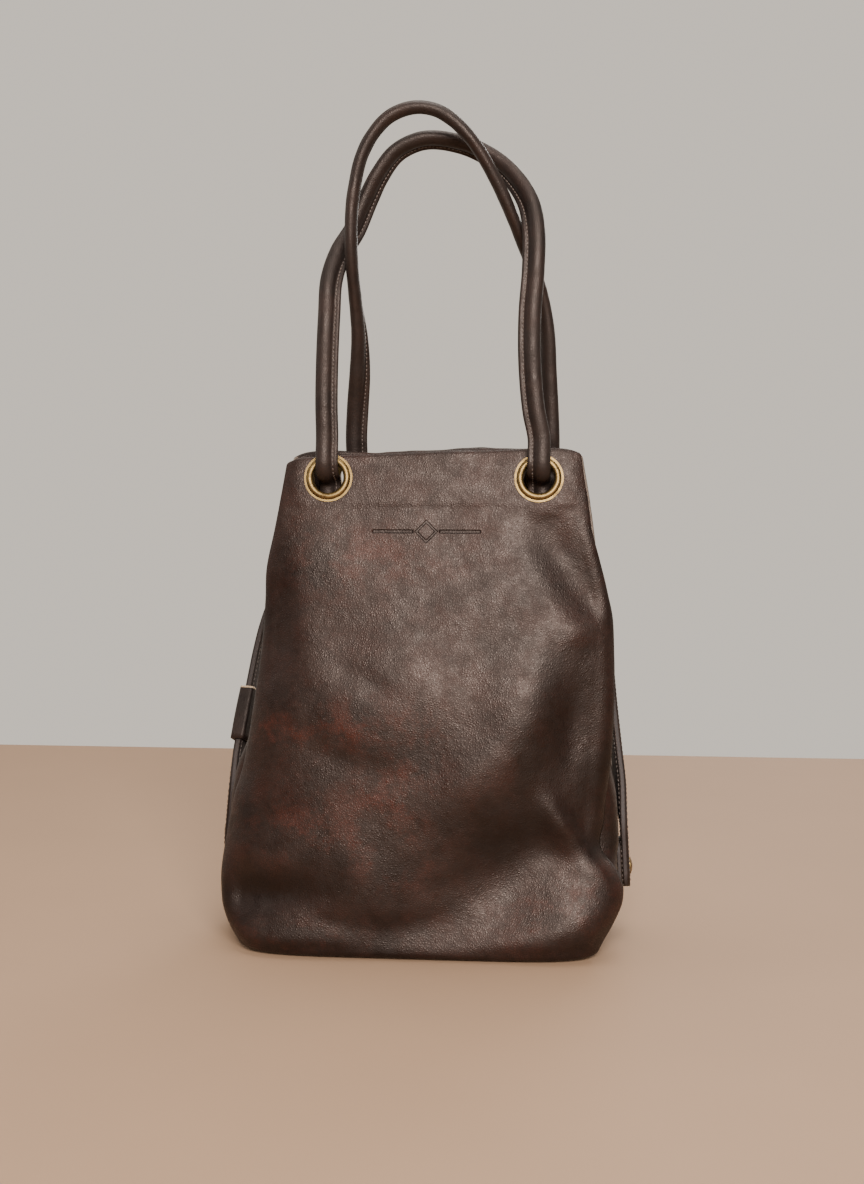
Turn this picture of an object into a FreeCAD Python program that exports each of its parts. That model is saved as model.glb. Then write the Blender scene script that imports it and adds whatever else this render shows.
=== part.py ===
import FreeCAD, Part
import math
import os

import Sketcher

# Leather bucket bag with two loop handles and two back straps.
# Frame: origin at the middle of the underside, +Z up, front towards -Y, +X to the wearer's right.
# Every leather wall leans on one set of cross-sections; everything else is placed from those walls.

Vector = FreeCAD.Vector
Rotation = FreeCAD.Rotation
Placement = FreeCAD.Placement

SIZES = {
    # cross-sections of the body, bottom to mouth: height, half width, half depth, corner radius and
    # sideways shift of the middle, because the soft body stands leaning a little to its right
    "level_base": 0.0, "wide_base": 108.0, "deep_base": 57.0, "round_base": 38.0, "shift_base": 0.0,
    "level_belly": 38.0, "wide_belly": 122.0, "deep_belly": 60.0, "round_belly": 42.0, "shift_belly": 1.0,
    "level_low": 90.0, "wide_low": 118.0, "deep_low": 56.0, "round_low": 38.0, "shift_low": 2.0,
    "level_mid": 150.0, "wide_mid": 113.0, "deep_mid": 50.0, "round_mid": 34.0, "shift_mid": 8.0,
    "level_hem": 255.0, "wide_hem": 99.0, "deep_hem": 27.0, "round_hem": 16.0, "shift_hem": 9.0,
    "level_mouth": 304.0, "wide_mouth": 90.0, "deep_mouth": 17.0, "round_mouth": 10.0, "shift_mouth": 9.0,
    # leather, board and lining
    "leather": 2.2, "base_leather": 2.4, "seam_share": 0.3,
    "board": 1.6, "board_margin": 4.5, "facing": 1.6, "facing_foot": 266.0,
    "lining": 0.7, "lining_top": 272.0,
    # eyelets through the mouth band
    "front_eyelet_out": 63.7, "rear_eyelet_out": 60.5, "rear_aside": 8.0, "eyelet_level": 287.0,
    "eyelet_bore": 18.6, "eyelet_wall": 0.6, "eyelet_flange": 29.5, "eyelet_lip": 0.7,
    "eyelet_dome": 27.0, "eyelet_rise": 2.6,
    "eyelet_slack": 0.2, "eyelet_rim": 23.0, "eyelet_roll": 0.7,
    "washer_outer": 27.5, "washer_thick": 0.9,
    # handles: folded leather strap
    "handle_wide": 14.5, "handle_thick": 8.5, "handle_edge": 2.6, "handle_gap": 0.15,
    "handle_off": 8.5, "handle_drop": 1.0, "handle_bend": 8.0, "handle_turn": 6.5,
    "handle_reach": 3.5, "handle_tail": 32.0, "handle_pivot": 22.0,
    "front_handle_top": 492.0, "rear_handle_top": 510.0, "handle_top_off": 10.0,
    "stop_wide": 24.0, "stop_tall": 24.0, "stop_thick": 2.5, "stop_drop": 22.0, "stop_corner": 4.0,
    "pin": 4.0, "pin_slack": 0.2, "pin_head": 9.0, "pin_head_thick": 0.9, "pin_cap_thick": 1.4,
    # back straps and their ends
    "strap_wide": 21.0, "strap_thick": 4.5, "strap_gap": 2.4, "strap_straight": 77.0,
    "left_rivet_level": 61.0, "right_rivet_level": 43.2, "rivet_back": 12.0,
    "end_above": 24.0, "end_below": 13.0, "patch_wide": 27.0, "patch_tall": 34.0,
    "patch_corner": 6.0, "patch_thick": 1.5, "collar": 8.0, "collar_thick": 1.2,
    "cap": 11.0, "cap_thick": 2.0, "tail_disc": 9.0, "tail_disc_thick": 1.1,
    "yoke_level": 232.0, "yoke_wide": 62.0, "yoke_tall": 38.0, "yoke_corner": 8.0,
    "root_rivet": 19.0, "root_inner": 8.0, "root_outer": 40.0,
    "bow_start": 45.0, "bow_end": 58.0, "bow_lift": 26.0,
    "left_lean_out": -8.0, "right_lean_out": -7.5, "lean_back": 31.0, "lean_rise": 65.0,
    "strap_turn": 12.0,
    "keeper_long": 35.0, "keeper_wall": 2.2, "keeper_slack": 0.3, "keeper_place": 48.0,
}

LEVELS = ("base", "belly", "low", "mid", "hem", "mouth")
FRONT, BACK, LEFT, RIGHT = 0.0, 180.0, -90.0, 90.0
FAR = 400.0

os.makedirs("parts", exist_ok=True)
doc = FreeCAD.newDocument("bucket_bag")
sheet = doc.addObject("Spreadsheet::Sheet", "sizes")
for row, (alias, number) in enumerate(SIZES.items(), start=1):
    sheet.set(f"A{row}", alias)
    sheet.set(f"B{row}", str(number))
    sheet.setAlias(f"B{row}", alias)
doc.recompute()


def size(alias):
    """One number read back from the sheet."""
    return float(sheet.get(alias))


def dim(alias, factor=1.0):
    """A size with the expression that follows the sheet."""
    return (size(alias) * factor, f"sizes.{alias} * {factor}")


def add(*terms):
    """The sum of several dims."""
    return (sum(term[0] for term in terms), " + ".join(f"({term[1]})" for term in terms))


def less(first, *others):
    """A dim with several dims taken from it."""
    value = first[0] - sum(term[0] for term in others)
    return (value, f"({first[1]})" + "".join(f" - ({term[1]})" for term in others))


def minus(term):
    """A dim with its sign turned."""
    return (-term[0], f"-({term[1]})")


def arch(half_span, rise):
    """Radius of the arc that rises by rise over a half span."""
    value = (half_span[0] ** 2 + rise[0] ** 2) / (2 * rise[0])
    squares = f"({half_span[1]}) * ({half_span[1]}) + ({rise[1]}) * ({rise[1]})"
    return (value, f"({squares}) / (2 * ({rise[1]}))")


ZERO = (0.0, "0")


# ---------------------------------------------------------------- sketches

def plane_of(body, role):
    """One of the body's own origin planes."""
    return [plane for plane in body.Origin.OriginFeatures if plane.Role == role][0]


def new_sketch(body, name, role, offset=None):
    """A sketch on an origin plane of its body; offset is a dim along the plane's normal."""
    sketch = body.newObject("Sketcher::SketchObject", name)
    sketch.AttachmentSupport = (plane_of(body, role), [""])
    sketch.MapMode = "FlatFace"
    if offset is not None:
        sketch.AttachmentOffset = Placement(Vector(0, 0, offset[0]), Rotation())
        sketch.setExpression("AttachmentOffset.Base.z", offset[1])
    return sketch


def bent(start, end, radius):
    """The arc from start to end that swells to the right of its direction."""
    chord = end.sub(start)
    half = chord.Length / 2.0
    side = Vector(chord.y, -chord.x, 0).normalize()
    sagitta = abs(radius) - math.sqrt(max(radius * radius - half * half, 0.0))
    middle = start.add(end).multiply(0.5).add(side.multiply(math.copysign(sagitta, radius)))
    return Part.Arc(start, middle, end)


def held(sketch, edge, place, axis, value):
    """Fixes one coordinate of one end of an edge to a dim."""
    if abs(value[0]) < 1e-9:
        sketch.addConstraint(Sketcher.Constraint("PointOnObject", edge, place, -2 if axis == "X" else -1))
        return
    index = sketch.addConstraint(Sketcher.Constraint(f"Distance{axis}", -1, 1, edge, place, value[0]))
    sketch.setExpression(f"Constraints[{index}]", value[1])


def outline(sketch, corners, closed=True):
    """Lines and arcs through corners (across, up, bend): bend is the radius of the edge that follows."""
    points = [Vector(across[0], up[0], 0) for across, up, bend in corners]
    edges = len(corners) if closed else len(corners) - 1
    ends = []
    for index in range(edges):
        start = points[index]
        end = points[(index + 1) % len(points)]
        bend = corners[index][2]
        shape = Part.LineSegment(start, end) if bend is None else bent(start, end, bend[0])
        edge = sketch.addGeometry(shape)
        forward = sketch.getPoint(edge, 1).distanceToPoint(start) < 1e-6
        ends.append((edge, 1, 2) if forward else (edge, 2, 1))
    for index, (edge, begin, finish) in enumerate(ends):
        held(sketch, edge, begin, "X", corners[index][0])
        held(sketch, edge, begin, "Y", corners[index][1])
        if closed or index + 1 < edges:
            after = ends[(index + 1) % edges]
            sketch.addConstraint(Sketcher.Constraint("Coincident", edge, finish, after[0], after[1]))
        else:
            held(sketch, edge, finish, "X", corners[-1][0])
            held(sketch, edge, finish, "Y", corners[-1][1])
        bend = corners[index][2]
        if bend is not None:
            round_index = sketch.addConstraint(Sketcher.Constraint("Radius", edge, abs(bend[0])))
            sketch.setExpression(f"Constraints[{round_index}]", f"abs({bend[1]})")


def rounded_corners(half_wide, half_tall, radius, centre=ZERO):
    """Corners of a rounded rectangle, anticlockwise, its middle raised by centre."""
    low = less(centre, half_tall)
    high = add(centre, half_tall)
    left = minus(half_wide)
    return [
        (add(left, radius), low, None),
        (less(half_wide, radius), low, radius),
        (half_wide, add(low, radius), None),
        (half_wide, less(high, radius), radius),
        (less(half_wide, radius), high, None),
        (add(left, radius), high, radius),
        (left, less(high, radius), None),
        (left, add(low, radius), radius),
    ]


def pad(body, name, sketch, length):
    """A pad along the sketch's normal."""
    feature = body.newObject("PartDesign::Pad", name)
    feature.Profile = sketch
    feature.Length = length[0]
    feature.setExpression("Length", length[1])
    return feature


def bore(body, name, radius, up):
    """A round hole right through along the body's own Y, its centre raised by up."""
    sketch = new_sketch(body, name + "_outline", "XZ_Plane")
    circle = sketch.addGeometry(Part.Circle(Vector(0, up[0], 0), Vector(0, 0, 1), radius[0]))
    sketch.addConstraint(Sketcher.Constraint("PointOnObject", circle, 3, -2))
    if abs(up[0]) < 1e-9:
        sketch.addConstraint(Sketcher.Constraint("PointOnObject", circle, 3, -1))
    else:
        index = sketch.addConstraint(Sketcher.Constraint("DistanceY", -1, 1, circle, 3, up[0]))
        sketch.setExpression(f"Constraints[{index}]", up[1])
    index = sketch.addConstraint(Sketcher.Constraint("Radius", circle, radius[0]))
    sketch.setExpression(f"Constraints[{index}]", radius[1])
    doc.recompute()
    feature = body.newObject("PartDesign::Pocket", name)
    feature.Profile = sketch
    feature.Type = 1
    feature.Midplane = True
    return feature


def turned(name, corners):
    """A body turned about its own Z from a closed half profile of (radius, height, bend)."""
    body = doc.addObject("PartDesign::Body", name)
    sketch = new_sketch(body, name + "_profile", "XZ_Plane")
    outline(sketch, corners)
    doc.recompute()
    feature = body.newObject("PartDesign::Revolution", name + "_turn")
    feature.Profile = sketch
    feature.ReferenceAxis = (sketch, ["V_Axis"])
    feature.Angle = 360.0
    doc.recompute()
    return body


def feature_of(name, shape, place=None):
    """A plain solid feature carrying a computed shape."""
    item = doc.addObject("Part::Feature", name)
    item.Shape = shape
    item.Placement = place if place is not None else Placement()
    return item


# ---------------------------------------------------------------- walls of the body

def section_wire(level, wide, deep, corner, shift):
    """A rounded rectangle lying flat at one level, its middle moved sideways by shift."""
    points = []
    for turn in range(4):
        angle = math.radians(90.0 * turn)
        sign_x = 1.0 if turn in (0, 3) else -1.0
        sign_y = 1.0 if turn in (0, 1) else -1.0
        centre = Vector(shift + sign_x * (wide - corner), sign_y * (deep - corner), level)
        points.append([
            centre.add(Vector(math.cos(angle + step), math.sin(angle + step), 0).multiply(corner))
            for step in (0.0, math.pi / 4, math.pi / 2)
        ])
    edges = []
    for turn in range(4):
        start, middle, end = points[turn]
        edges.append(Part.Arc(start, middle, end).toShape())
        edges.append(Part.makeLine(end, points[(turn + 1) % 4][0]))
    return Part.Wire(edges)


def measure_at(level, kind):
    """A half width, half depth, corner radius or shift at one level, straight between the sections."""
    for below, above in zip(LEVELS, LEVELS[1:]):
        low, high = size("level_" + below), size("level_" + above)
        if low <= level <= high:
            start, end = size(kind + "_" + below), size(kind + "_" + above)
            return start + (end - start) * (level - low) / (high - low)
    raise ValueError("level outside the body")


def levels_between(low, high):
    """The section levels inside a height range, with both ends of the range."""
    inner = [size("level_" + name) for name in LEVELS]
    return [low] + [level for level in inner if low < level < high] + [high]


def body_form(offset, low, high):
    """The body form between two levels, moved in by offset on every side."""
    wires = []
    for level in levels_between(low, high):
        wires.append(section_wire(
            level,
            measure_at(level, "wide") - offset,
            measure_at(level, "deep") - offset,
            max(measure_at(level, "round") - offset, 1.0),
            measure_at(level, "shift"),
        ))
    return Part.makeLoft(wires, True, True)


def skin(outside, inside, low, high):
    """The shell between two offsets over a height range."""
    return body_form(outside, low, high).cut(body_form(inside, low, high))


def seam_core(low, high):
    """The space between the side seams, following the taper of the body."""
    wires = []
    for level in levels_between(low, high):
        reach = measure_at(level, "wide") - size("seam_share") * measure_at(level, "round")
        left, right = measure_at(level, "shift") - reach, measure_at(level, "shift") + reach
        corners = [(left, -FAR), (right, -FAR), (right, FAR), (left, FAR), (left, -FAR)]
        wires.append(Part.makePolygon([Vector(x, y, level) for x, y in corners]))
    return Part.makeLoft(wires, True, True)


def half_space(x_low, x_high, y_low, y_high):
    """A tall block of space used to keep one side of the body."""
    return Part.makeBox(x_high - x_low, y_high - y_low, 2 * FAR, Vector(x_low, y_low, -FAR))


def wall_distance(side, level):
    """Distance from the frame's upright axis to the outer wall on one side."""
    if side in (FRONT, BACK):
        return measure_at(level, "deep")
    sign = 1.0 if side == RIGHT else -1.0
    return measure_at(level, "wide") + sign * measure_at(level, "shift")


def lean_at(side, level):
    """Inward lean of the outer wall on one side at one level."""
    for below, above in zip(LEVELS, LEVELS[1:]):
        low, high = size("level_" + below), size("level_" + above)
        if low <= level <= high:
            return math.atan2(wall_distance(side, low) - wall_distance(side, high), high - low)
    raise ValueError("level outside the body")


def on_wall(side, across, level):
    """Frame on the outer wall: own Y points inwards, own Z up along the wall."""
    turn = Rotation(Vector(0, 0, 1), side)
    tilt = Rotation(Vector(1, 0, 0), -math.degrees(lean_at(side, level)))
    spot = turn.multVec(Vector(across, -wall_distance(side, level), 0))
    shift = measure_at(level, "shift") if side in (FRONT, BACK) else 0.0
    return Placement(spot.add(Vector(shift, 0, level)), turn.multiply(tilt))


def eyelet_places():
    """The four eyelet frames: front left, front right, rear left, rear right."""
    level = size("eyelet_level")
    front, rear, aside = size("front_eyelet_out"), size("rear_eyelet_out"), size("rear_aside")
    return {
        "front_left": on_wall(FRONT, -front, level),
        "front_right": on_wall(FRONT, front, level),
        "rear_left": on_wall(BACK, rear - aside, level),
        "rear_right": on_wall(BACK, -rear - aside, level),
    }


def rivet_places():
    """The four strap rivet frames: two low on the sides, two on the back yoke."""
    back = size("rivet_back")
    root = size("root_rivet")
    return {
        "left_end": on_wall(LEFT, -back, size("left_rivet_level")),
        "right_end": on_wall(RIGHT, back, size("right_rivet_level")),
        "left_root": on_wall(BACK, root, size("yoke_level")),
        "right_root": on_wall(BACK, -root, size("yoke_level")),
    }


def drilled(shape, places, radius):
    """A shape with round holes along the own Y of each place."""
    for place in places:
        drill = Part.makeCylinder(radius, FAR / 4, Vector(0, -FAR / 8, 0), Vector(0, 1, 0))
        drill.Placement = place
        shape = shape.cut(drill)
    return shape


def body_panels():
    """Front, back and the two gussets, butted at seams that run down the rounded corners."""
    low, high = size("base_leather"), size("level_mouth")
    walls = skin(0.0, size("leather"), low, high)
    core = seam_core(low, high)
    eyelet_hole = size("eyelet_bore") / 2 + size("eyelet_wall") + size("eyelet_slack") / 2
    pin_hole = (size("pin") + size("pin_slack")) / 2
    eyelets, rivets = eyelet_places(), rivet_places()
    faces = walls.common(core)
    front = faces.common(half_space(-FAR, FAR, -FAR, 0))
    back = faces.common(half_space(-FAR, FAR, 0, FAR))
    sides = walls.cut(core)
    left = sides.common(half_space(-FAR, 0, -FAR, FAR))
    right = sides.common(half_space(0, FAR, -FAR, FAR))
    front = drilled(front, [eyelets["front_left"], eyelets["front_right"]], eyelet_hole)
    back = drilled(back, [eyelets["rear_left"], eyelets["rear_right"]], eyelet_hole)
    back = drilled(back, [rivets["left_root"], rivets["right_root"]], pin_hole)
    left = drilled(left, [rivets["left_end"]], pin_hole)
    right = drilled(right, [rivets["right_end"]], pin_hole)
    feature_of("front_panel", front)
    feature_of("back_panel", back)
    feature_of("left_gusset", left)
    feature_of("right_gusset", right)


def mouth_facing():
    """Leather band sewn round the inside of the mouth."""
    inner = size("leather") + size("facing")
    band = skin(size("leather"), inner, size("facing_foot"), size("level_mouth"))
    radius = size("eyelet_bore") / 2 + size("eyelet_wall") + size("eyelet_slack") / 2
    feature_of("mouth_facing", drilled(band, eyelet_places().values(), radius))


def lining_sack():
    """Cloth sack standing on the base board, its top edge sewn over the foot of the facing."""
    outside = size("leather") + size("facing")
    inside = outside + size("lining")
    floor = size("base_leather") + size("board")
    sack = body_form(outside, floor, size("lining_top"))
    hollow = body_form(inside, floor + size("lining"), size("lining_top"))
    feature_of("lining", sack.cut(hollow))


def flat_sheet(name, margin, thickness, level):
    """A flat sheet with the outline of the base, drawn in by a margin."""
    body = doc.addObject("PartDesign::Body", name)
    sketch = new_sketch(body, name + "_outline", "XY_Plane")
    outline(sketch, rounded_corners(
        less(dim("wide_base"), margin), less(dim("deep_base"), margin), less(dim("round_base"), margin)
    ))
    doc.recompute()
    pad(body, name + "_pad", sketch, thickness)
    body.Placement = Placement(Vector(0, 0, level), Rotation())
    return body


# ---------------------------------------------------------------- eyelets and rivets

def eyelet_form():
    """Domed ring with a thin lip, a barrel through the leather and a rolled rim behind."""
    bore_radius = dim("eyelet_bore", 0.5)
    barrel = add(bore_radius, dim("eyelet_wall"))
    lip = dim("eyelet_lip")
    grip = add(dim("leather"), dim("facing"), dim("washer_thick"))
    rim = minus(add(grip, dim("eyelet_roll")))
    half_ring = less(dim("eyelet_dome", 0.25), dim("eyelet_bore", 0.25))
    body = turned("eyelet_form", [
        (bore_radius, rim, None),
        (dim("eyelet_rim", 0.5), rim, None),
        (dim("eyelet_rim", 0.5), minus(grip), None),
        (barrel, minus(grip), None),
        (barrel, ZERO, None),
        (dim("eyelet_flange", 0.5), ZERO, None),
        (dim("eyelet_flange", 0.5), lip, None),
        (dim("eyelet_dome", 0.5), lip, arch(half_ring, less(dim("eyelet_rise"), lip))),
        (bore_radius, lip, None),
    ])
    return body


def washer_form():
    """Flat ring clenched behind the mouth facing."""
    inner = add(dim("eyelet_bore", 0.5), dim("eyelet_wall"), dim("eyelet_slack", 0.5))
    outer = dim("washer_outer", 0.5)
    far_side = minus(add(dim("leather"), dim("facing"), dim("washer_thick")))
    near_side = minus(add(dim("leather"), dim("facing")))
    return turned("washer_form", [
        (inner, far_side, None),
        (outer, far_side, None),
        (outer, near_side, None),
        (inner, near_side, None),
    ])


def strap_rivet_form():
    """Domed cap, pin, collar between strap and patch, and a disc inside the wall."""
    pin = dim("pin", 0.5)
    collar_low = dim("patch_thick")
    collar_high = add(collar_low, dim("collar_thick"))
    cap_low = add(collar_high, dim("strap_thick"))
    disc_high = minus(dim("leather"))
    disc_low = less(disc_high, dim("tail_disc_thick"))
    return turned("strap_rivet_form", [
        (ZERO, disc_low, None),
        (dim("tail_disc", 0.5), disc_low, None),
        (dim("tail_disc", 0.5), disc_high, None),
        (pin, disc_high, None),
        (pin, collar_low, None),
        (dim("collar", 0.5), collar_low, None),
        (dim("collar", 0.5), collar_high, None),
        (pin, collar_high, None),
        (pin, cap_low, None),
        (dim("cap", 0.5), cap_low, None),
        (dim("cap", 0.5), add(cap_low, dim("cap_thick", 0.3)), arch(dim("cap", 0.5), dim("cap_thick", 0.7))),
        (ZERO, add(cap_low, dim("cap_thick")), None),
    ])


def stop_rivet_form():
    """Rivet through a handle tail and its stop: flat head towards the wall, domed cap inside."""
    pin = dim("pin", 0.5)
    head_high = minus(less(add(dim("handle_reach"), dim("handle_turn")), dim("handle_thick", 0.5)))
    cap_start = less(head_high, dim("handle_thick"), dim("stop_thick"))
    return turned("stop_rivet_form", [
        (ZERO, less(cap_start, dim("pin_cap_thick")), arch(dim("pin_head", 0.5), dim("pin_cap_thick", 0.7))),
        (dim("pin_head", 0.5), less(cap_start, dim("pin_cap_thick", 0.3)), None),
        (dim("pin_head", 0.5), cap_start, None),
        (pin, cap_start, None),
        (pin, head_high, None),
        (dim("pin_head", 0.5), head_high, None),
        (dim("pin_head", 0.5), add(head_high, dim("pin_head_thick")), None),
        (ZERO, add(head_high, dim("pin_head_thick")), None),
    ])


def copies(name, form, places, drop=0.0):
    """A group of separate solids: the form's own Z turned to point out of each wall frame."""
    outward = Rotation(Vector(1, 0, 0), 90)
    solids = []
    for place in places:
        solid = form.Shape.copy()
        solid.Placement = place.multiply(Placement(Vector(0, 0, -drop), outward)).multiply(form.Placement)
        solids.append(solid)
    return feature_of(name, Part.makeCompound(solids))


# ---------------------------------------------------------------- handles

def strap_profile(body, name, role, offset, centre_across, centre_up):
    """The handle's rounded cross-section, drawn at the start of its run."""
    sketch = new_sketch(body, name, role, offset)
    half_wide, half_thick = dim("handle_wide", 0.5), dim("handle_thick", 0.5)
    corners = rounded_corners(half_wide, half_thick, dim("handle_edge"), centre_up)
    outline(sketch, [(add(across, centre_across), up, bend) for across, up, bend in corners])
    return sketch


def pipe(body, name, profile, spine):
    """A profile carried along a spine."""
    feature = body.newObject("PartDesign::AdditivePipe", name)
    feature.Profile = profile
    feature.Spine = spine
    return feature


def pivot_point(side):
    """Middle of the line where a handle folds: on the outer face of its straps, above the mouth."""
    frame = on_wall(side, 0 if side == FRONT else -size("rear_aside"), size("eyelet_level"))
    reach = size("handle_off") + size("handle_thick") / 2
    return frame.multVec(Vector(0, -reach, size("handle_pivot")))


def handle_loop(name, side, top):
    """One arched loop standing on its fold line."""
    pivot = pivot_point(side)
    out = dim("front_eyelet_out" if side == FRONT else "rear_eyelet_out")
    half_thick = size("handle_thick") / 2
    lean = math.atan2(abs(pivot.y) - half_thick - size("handle_top_off"), size(top) - pivot.z)
    turn = Rotation(Vector(0, 0, 1), side).multiply(Rotation(Vector(1, 0, 0), -math.degrees(lean)))
    leg = (size(top) - pivot.z) / math.cos(lean) - out[0]
    gap = dim("handle_gap")
    body = doc.addObject("PartDesign::Body", name)
    spine = new_sketch(body, name + "_spine", "XZ_Plane")
    leg_top = (leg, str(leg))
    outline(spine, [
        (out, gap, None),
        (out, leg_top, out),
        (ZERO, add(leg_top, out), out),
        (minus(out), leg_top, None),
        (minus(out), gap, None),
    ], closed=False)
    profile = strap_profile(body, name + "_section", "XY_Plane", gap, out, ZERO)
    doc.recompute()
    pipe(body, name + "_sweep", profile, spine)
    body.Placement = Placement(pivot.add(turn.multVec(Vector(0, half_thick, 0))), turn)
    doc.recompute()
    return body


def handle_tail(name, place):
    """Lower end of a handle: down outside the wall, in through the eyelet and down inside."""
    body = doc.addObject("PartDesign::Body", name)
    off, drop, bend = dim("handle_off"), dim("handle_drop"), dim("handle_bend")
    reach, turn = dim("handle_reach"), dim("handle_turn")
    top = less(dim("handle_pivot"), dim("handle_gap"))
    spine = new_sketch(body, name + "_spine", "YZ_Plane")
    outline(spine, [
        (minus(off), top, None),
        (minus(off), add(drop, bend), bend),
        (less(bend, off), drop, None),
        (reach, drop, minus(turn)),
        (add(reach, turn), less(drop, turn), None),
        (add(reach, turn), minus(dim("handle_tail")), None),
    ], closed=False)
    profile = strap_profile(body, name + "_section", "XY_Plane", top, ZERO, minus(off))
    doc.recompute()
    pipe(body, name + "_sweep", profile, spine)
    doc.recompute()
    bore(body, name + "_hole", dim("pin", 0.525), minus(dim("stop_drop")))
    body.Placement = place
    doc.recompute()
    return body


def stop_form():
    """Leather block riveted across a handle tail so that it cannot pull back through the eyelet."""
    body = doc.addObject("PartDesign::Body", "stop_form")
    near_side = add(dim("handle_reach"), dim("handle_turn"), dim("handle_thick", 0.5))
    far_side = add(near_side, dim("stop_thick"))
    sketch = new_sketch(body, "stop_outline", "XZ_Plane", minus(far_side))
    outline(sketch, rounded_corners(
        dim("stop_wide", 0.5), dim("stop_tall", 0.5), dim("stop_corner"), minus(dim("stop_drop"))
    ))
    doc.recompute()
    pad(body, "stop_pad", sketch, dim("stop_thick"))
    doc.recompute()
    bore(body, "stop_hole", dim("pin", 0.525), minus(dim("stop_drop")))
    doc.recompute()
    return body


# ---------------------------------------------------------------- back straps

def wall_plate(name, half_wide, low, high, corner, near, thickness, place, holes):
    """A flat leather piece lying on a wall: near is its distance from the wall."""
    body = doc.addObject("PartDesign::Body", name)
    middle = less(dim(high[0], high[1] / 2), dim(low[0], low[1] / 2))
    half_tall = add(dim(high[0], high[1] / 2), dim(low[0], low[1] / 2))
    sketch = new_sketch(body, name + "_outline", "XZ_Plane", near)
    outline(sketch, rounded_corners(half_wide, half_tall, corner, middle))
    doc.recompute()
    pad(body, name + "_pad", sketch, thickness)
    doc.recompute()
    for index, across in enumerate(holes):
        hole = new_sketch(body, f"{name}_hole_outline_{index}", "XZ_Plane")
        circle = hole.addGeometry(Part.Circle(Vector(across[0], 0, 0), Vector(0, 0, 1), size("pin") * 0.525))
        hole.addConstraint(Sketcher.Constraint("PointOnObject", circle, 3, -1))
        held(hole, circle, 3, "X", across)
        number = hole.addConstraint(Sketcher.Constraint("Radius", circle, size("pin") * 0.525))
        hole.setExpression(f"Constraints[{number}]", dim("pin", 0.525)[1])
        doc.recompute()
        pocket = body.newObject("PartDesign::Pocket", f"{name}_hole_{index}")
        pocket.Profile = hole
        pocket.Type = 1
        pocket.Midplane = True
        doc.recompute()
    body.Placement = place
    doc.recompute()
    return body


def side_patches():
    """Thin reinforcing patches on the gussets under the lower strap ends."""
    for name, key in (("left_side_patch", "left_end"), ("right_side_patch", "right_end")):
        wall_plate(
            name, dim("patch_wide", 0.5), ("patch_tall", 0.5), ("patch_tall", 0.5),
            dim("patch_corner"), ZERO, dim("patch_thick"), rivet_places()[key], [ZERO],
        )


def strap_ends():
    """Rounded lower strap ends, held off the patches by the rivet collars."""
    near = add(dim("patch_thick"), dim("collar_thick"))
    for name, key in (("left_strap_end", "left_end"), ("right_strap_end", "right_end")):
        wall_plate(
            name, dim("strap_wide", 0.5), ("end_below", 1.0), ("end_above", 1.0),
            dim("patch_corner", 1.2), near, dim("strap_thick"), rivet_places()[key], [ZERO],
        )


def back_yoke():
    """Leather patch high on the back that carries both upper strap ends."""
    rivet = dim("root_rivet")
    wall_plate(
        "back_yoke", dim("yoke_wide", 0.5), ("yoke_tall", 0.5), ("yoke_tall", 0.5),
        dim("yoke_corner"), ZERO, dim("patch_thick"), on_wall(BACK, 0, size("yoke_level")),
        [minus(rivet), rivet],
    )


def strap_roots():
    """Upper strap ends riveted flat on the yoke."""
    inner, outer = size("root_inner"), size("root_outer")
    near = size("patch_thick") + size("collar_thick")
    wide, thick = size("strap_wide"), size("strap_thick")
    frame = on_wall(BACK, 0, size("yoke_level"))
    for name, sign, key in (("left_strap_root", 1, "left_root"), ("right_strap_root", -1, "right_root")):
        start = inner if sign > 0 else -outer
        block = Part.makeBox(outer - inner, thick, wide, Vector(start, -near - thick, -wide / 2))
        block.Placement = frame
        feature_of(name, drilled(block, [rivet_places()[key]], size("pin") * 0.525))


def strap_frames(side):
    """Lower and upper ends of a moving strap and the directions it leaves them in."""
    sign = -1.0 if side == "left" else 1.0
    near = size("patch_thick") + size("collar_thick") + size("strap_thick") / 2
    lower = rivet_places()[side + "_end"].multVec(Vector(0, -near, size("end_above") + size("strap_gap")))
    reach = size("root_outer") + size("strap_gap")
    yoke = on_wall(BACK, 0, size("yoke_level"))
    upper = yoke.multVec(Vector(-sign * reach, -near, 0))
    run = Vector(sign * size(side + "_lean_out"), size("lean_back"), size("lean_rise")).normalize()
    return sign, lower, upper, run


def strap_facing(sign):
    """Direction the outer face of a strap's straight run looks in: sideways and a little back."""
    turn = math.radians(size("strap_turn"))
    return Vector(sign * math.cos(turn), math.sin(turn), 0)


def strap_rectangle(spot, along, facing):
    """Cross-section of a back strap: its broad side square to facing."""
    along = Vector(along).normalize()
    normal = facing.sub(Vector(along).multiply(along.dot(facing))).normalize()
    breadth = along.cross(normal)
    half_wide, half_thick = size("strap_wide") / 2, size("strap_thick") / 2
    corners = []
    for wide, thick in ((-1, -1), (1, -1), (1, 1), (-1, 1), (-1, -1)):
        shift = Vector(breadth).multiply(wide * half_wide).add(Vector(normal).multiply(thick * half_thick))
        corners.append(spot.add(shift))
    return Part.makePolygon(corners)


def below_joint(side):
    """The space under the line where a moving strap starts, in line with the top of its fixed end."""
    block = Part.makeBox(FAR, FAR, FAR, Vector(-FAR / 2, -FAR / 2, size("end_above") + size("strap_gap") - FAR))
    block.Placement = rivet_places()[side + "_end"]
    return block


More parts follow.
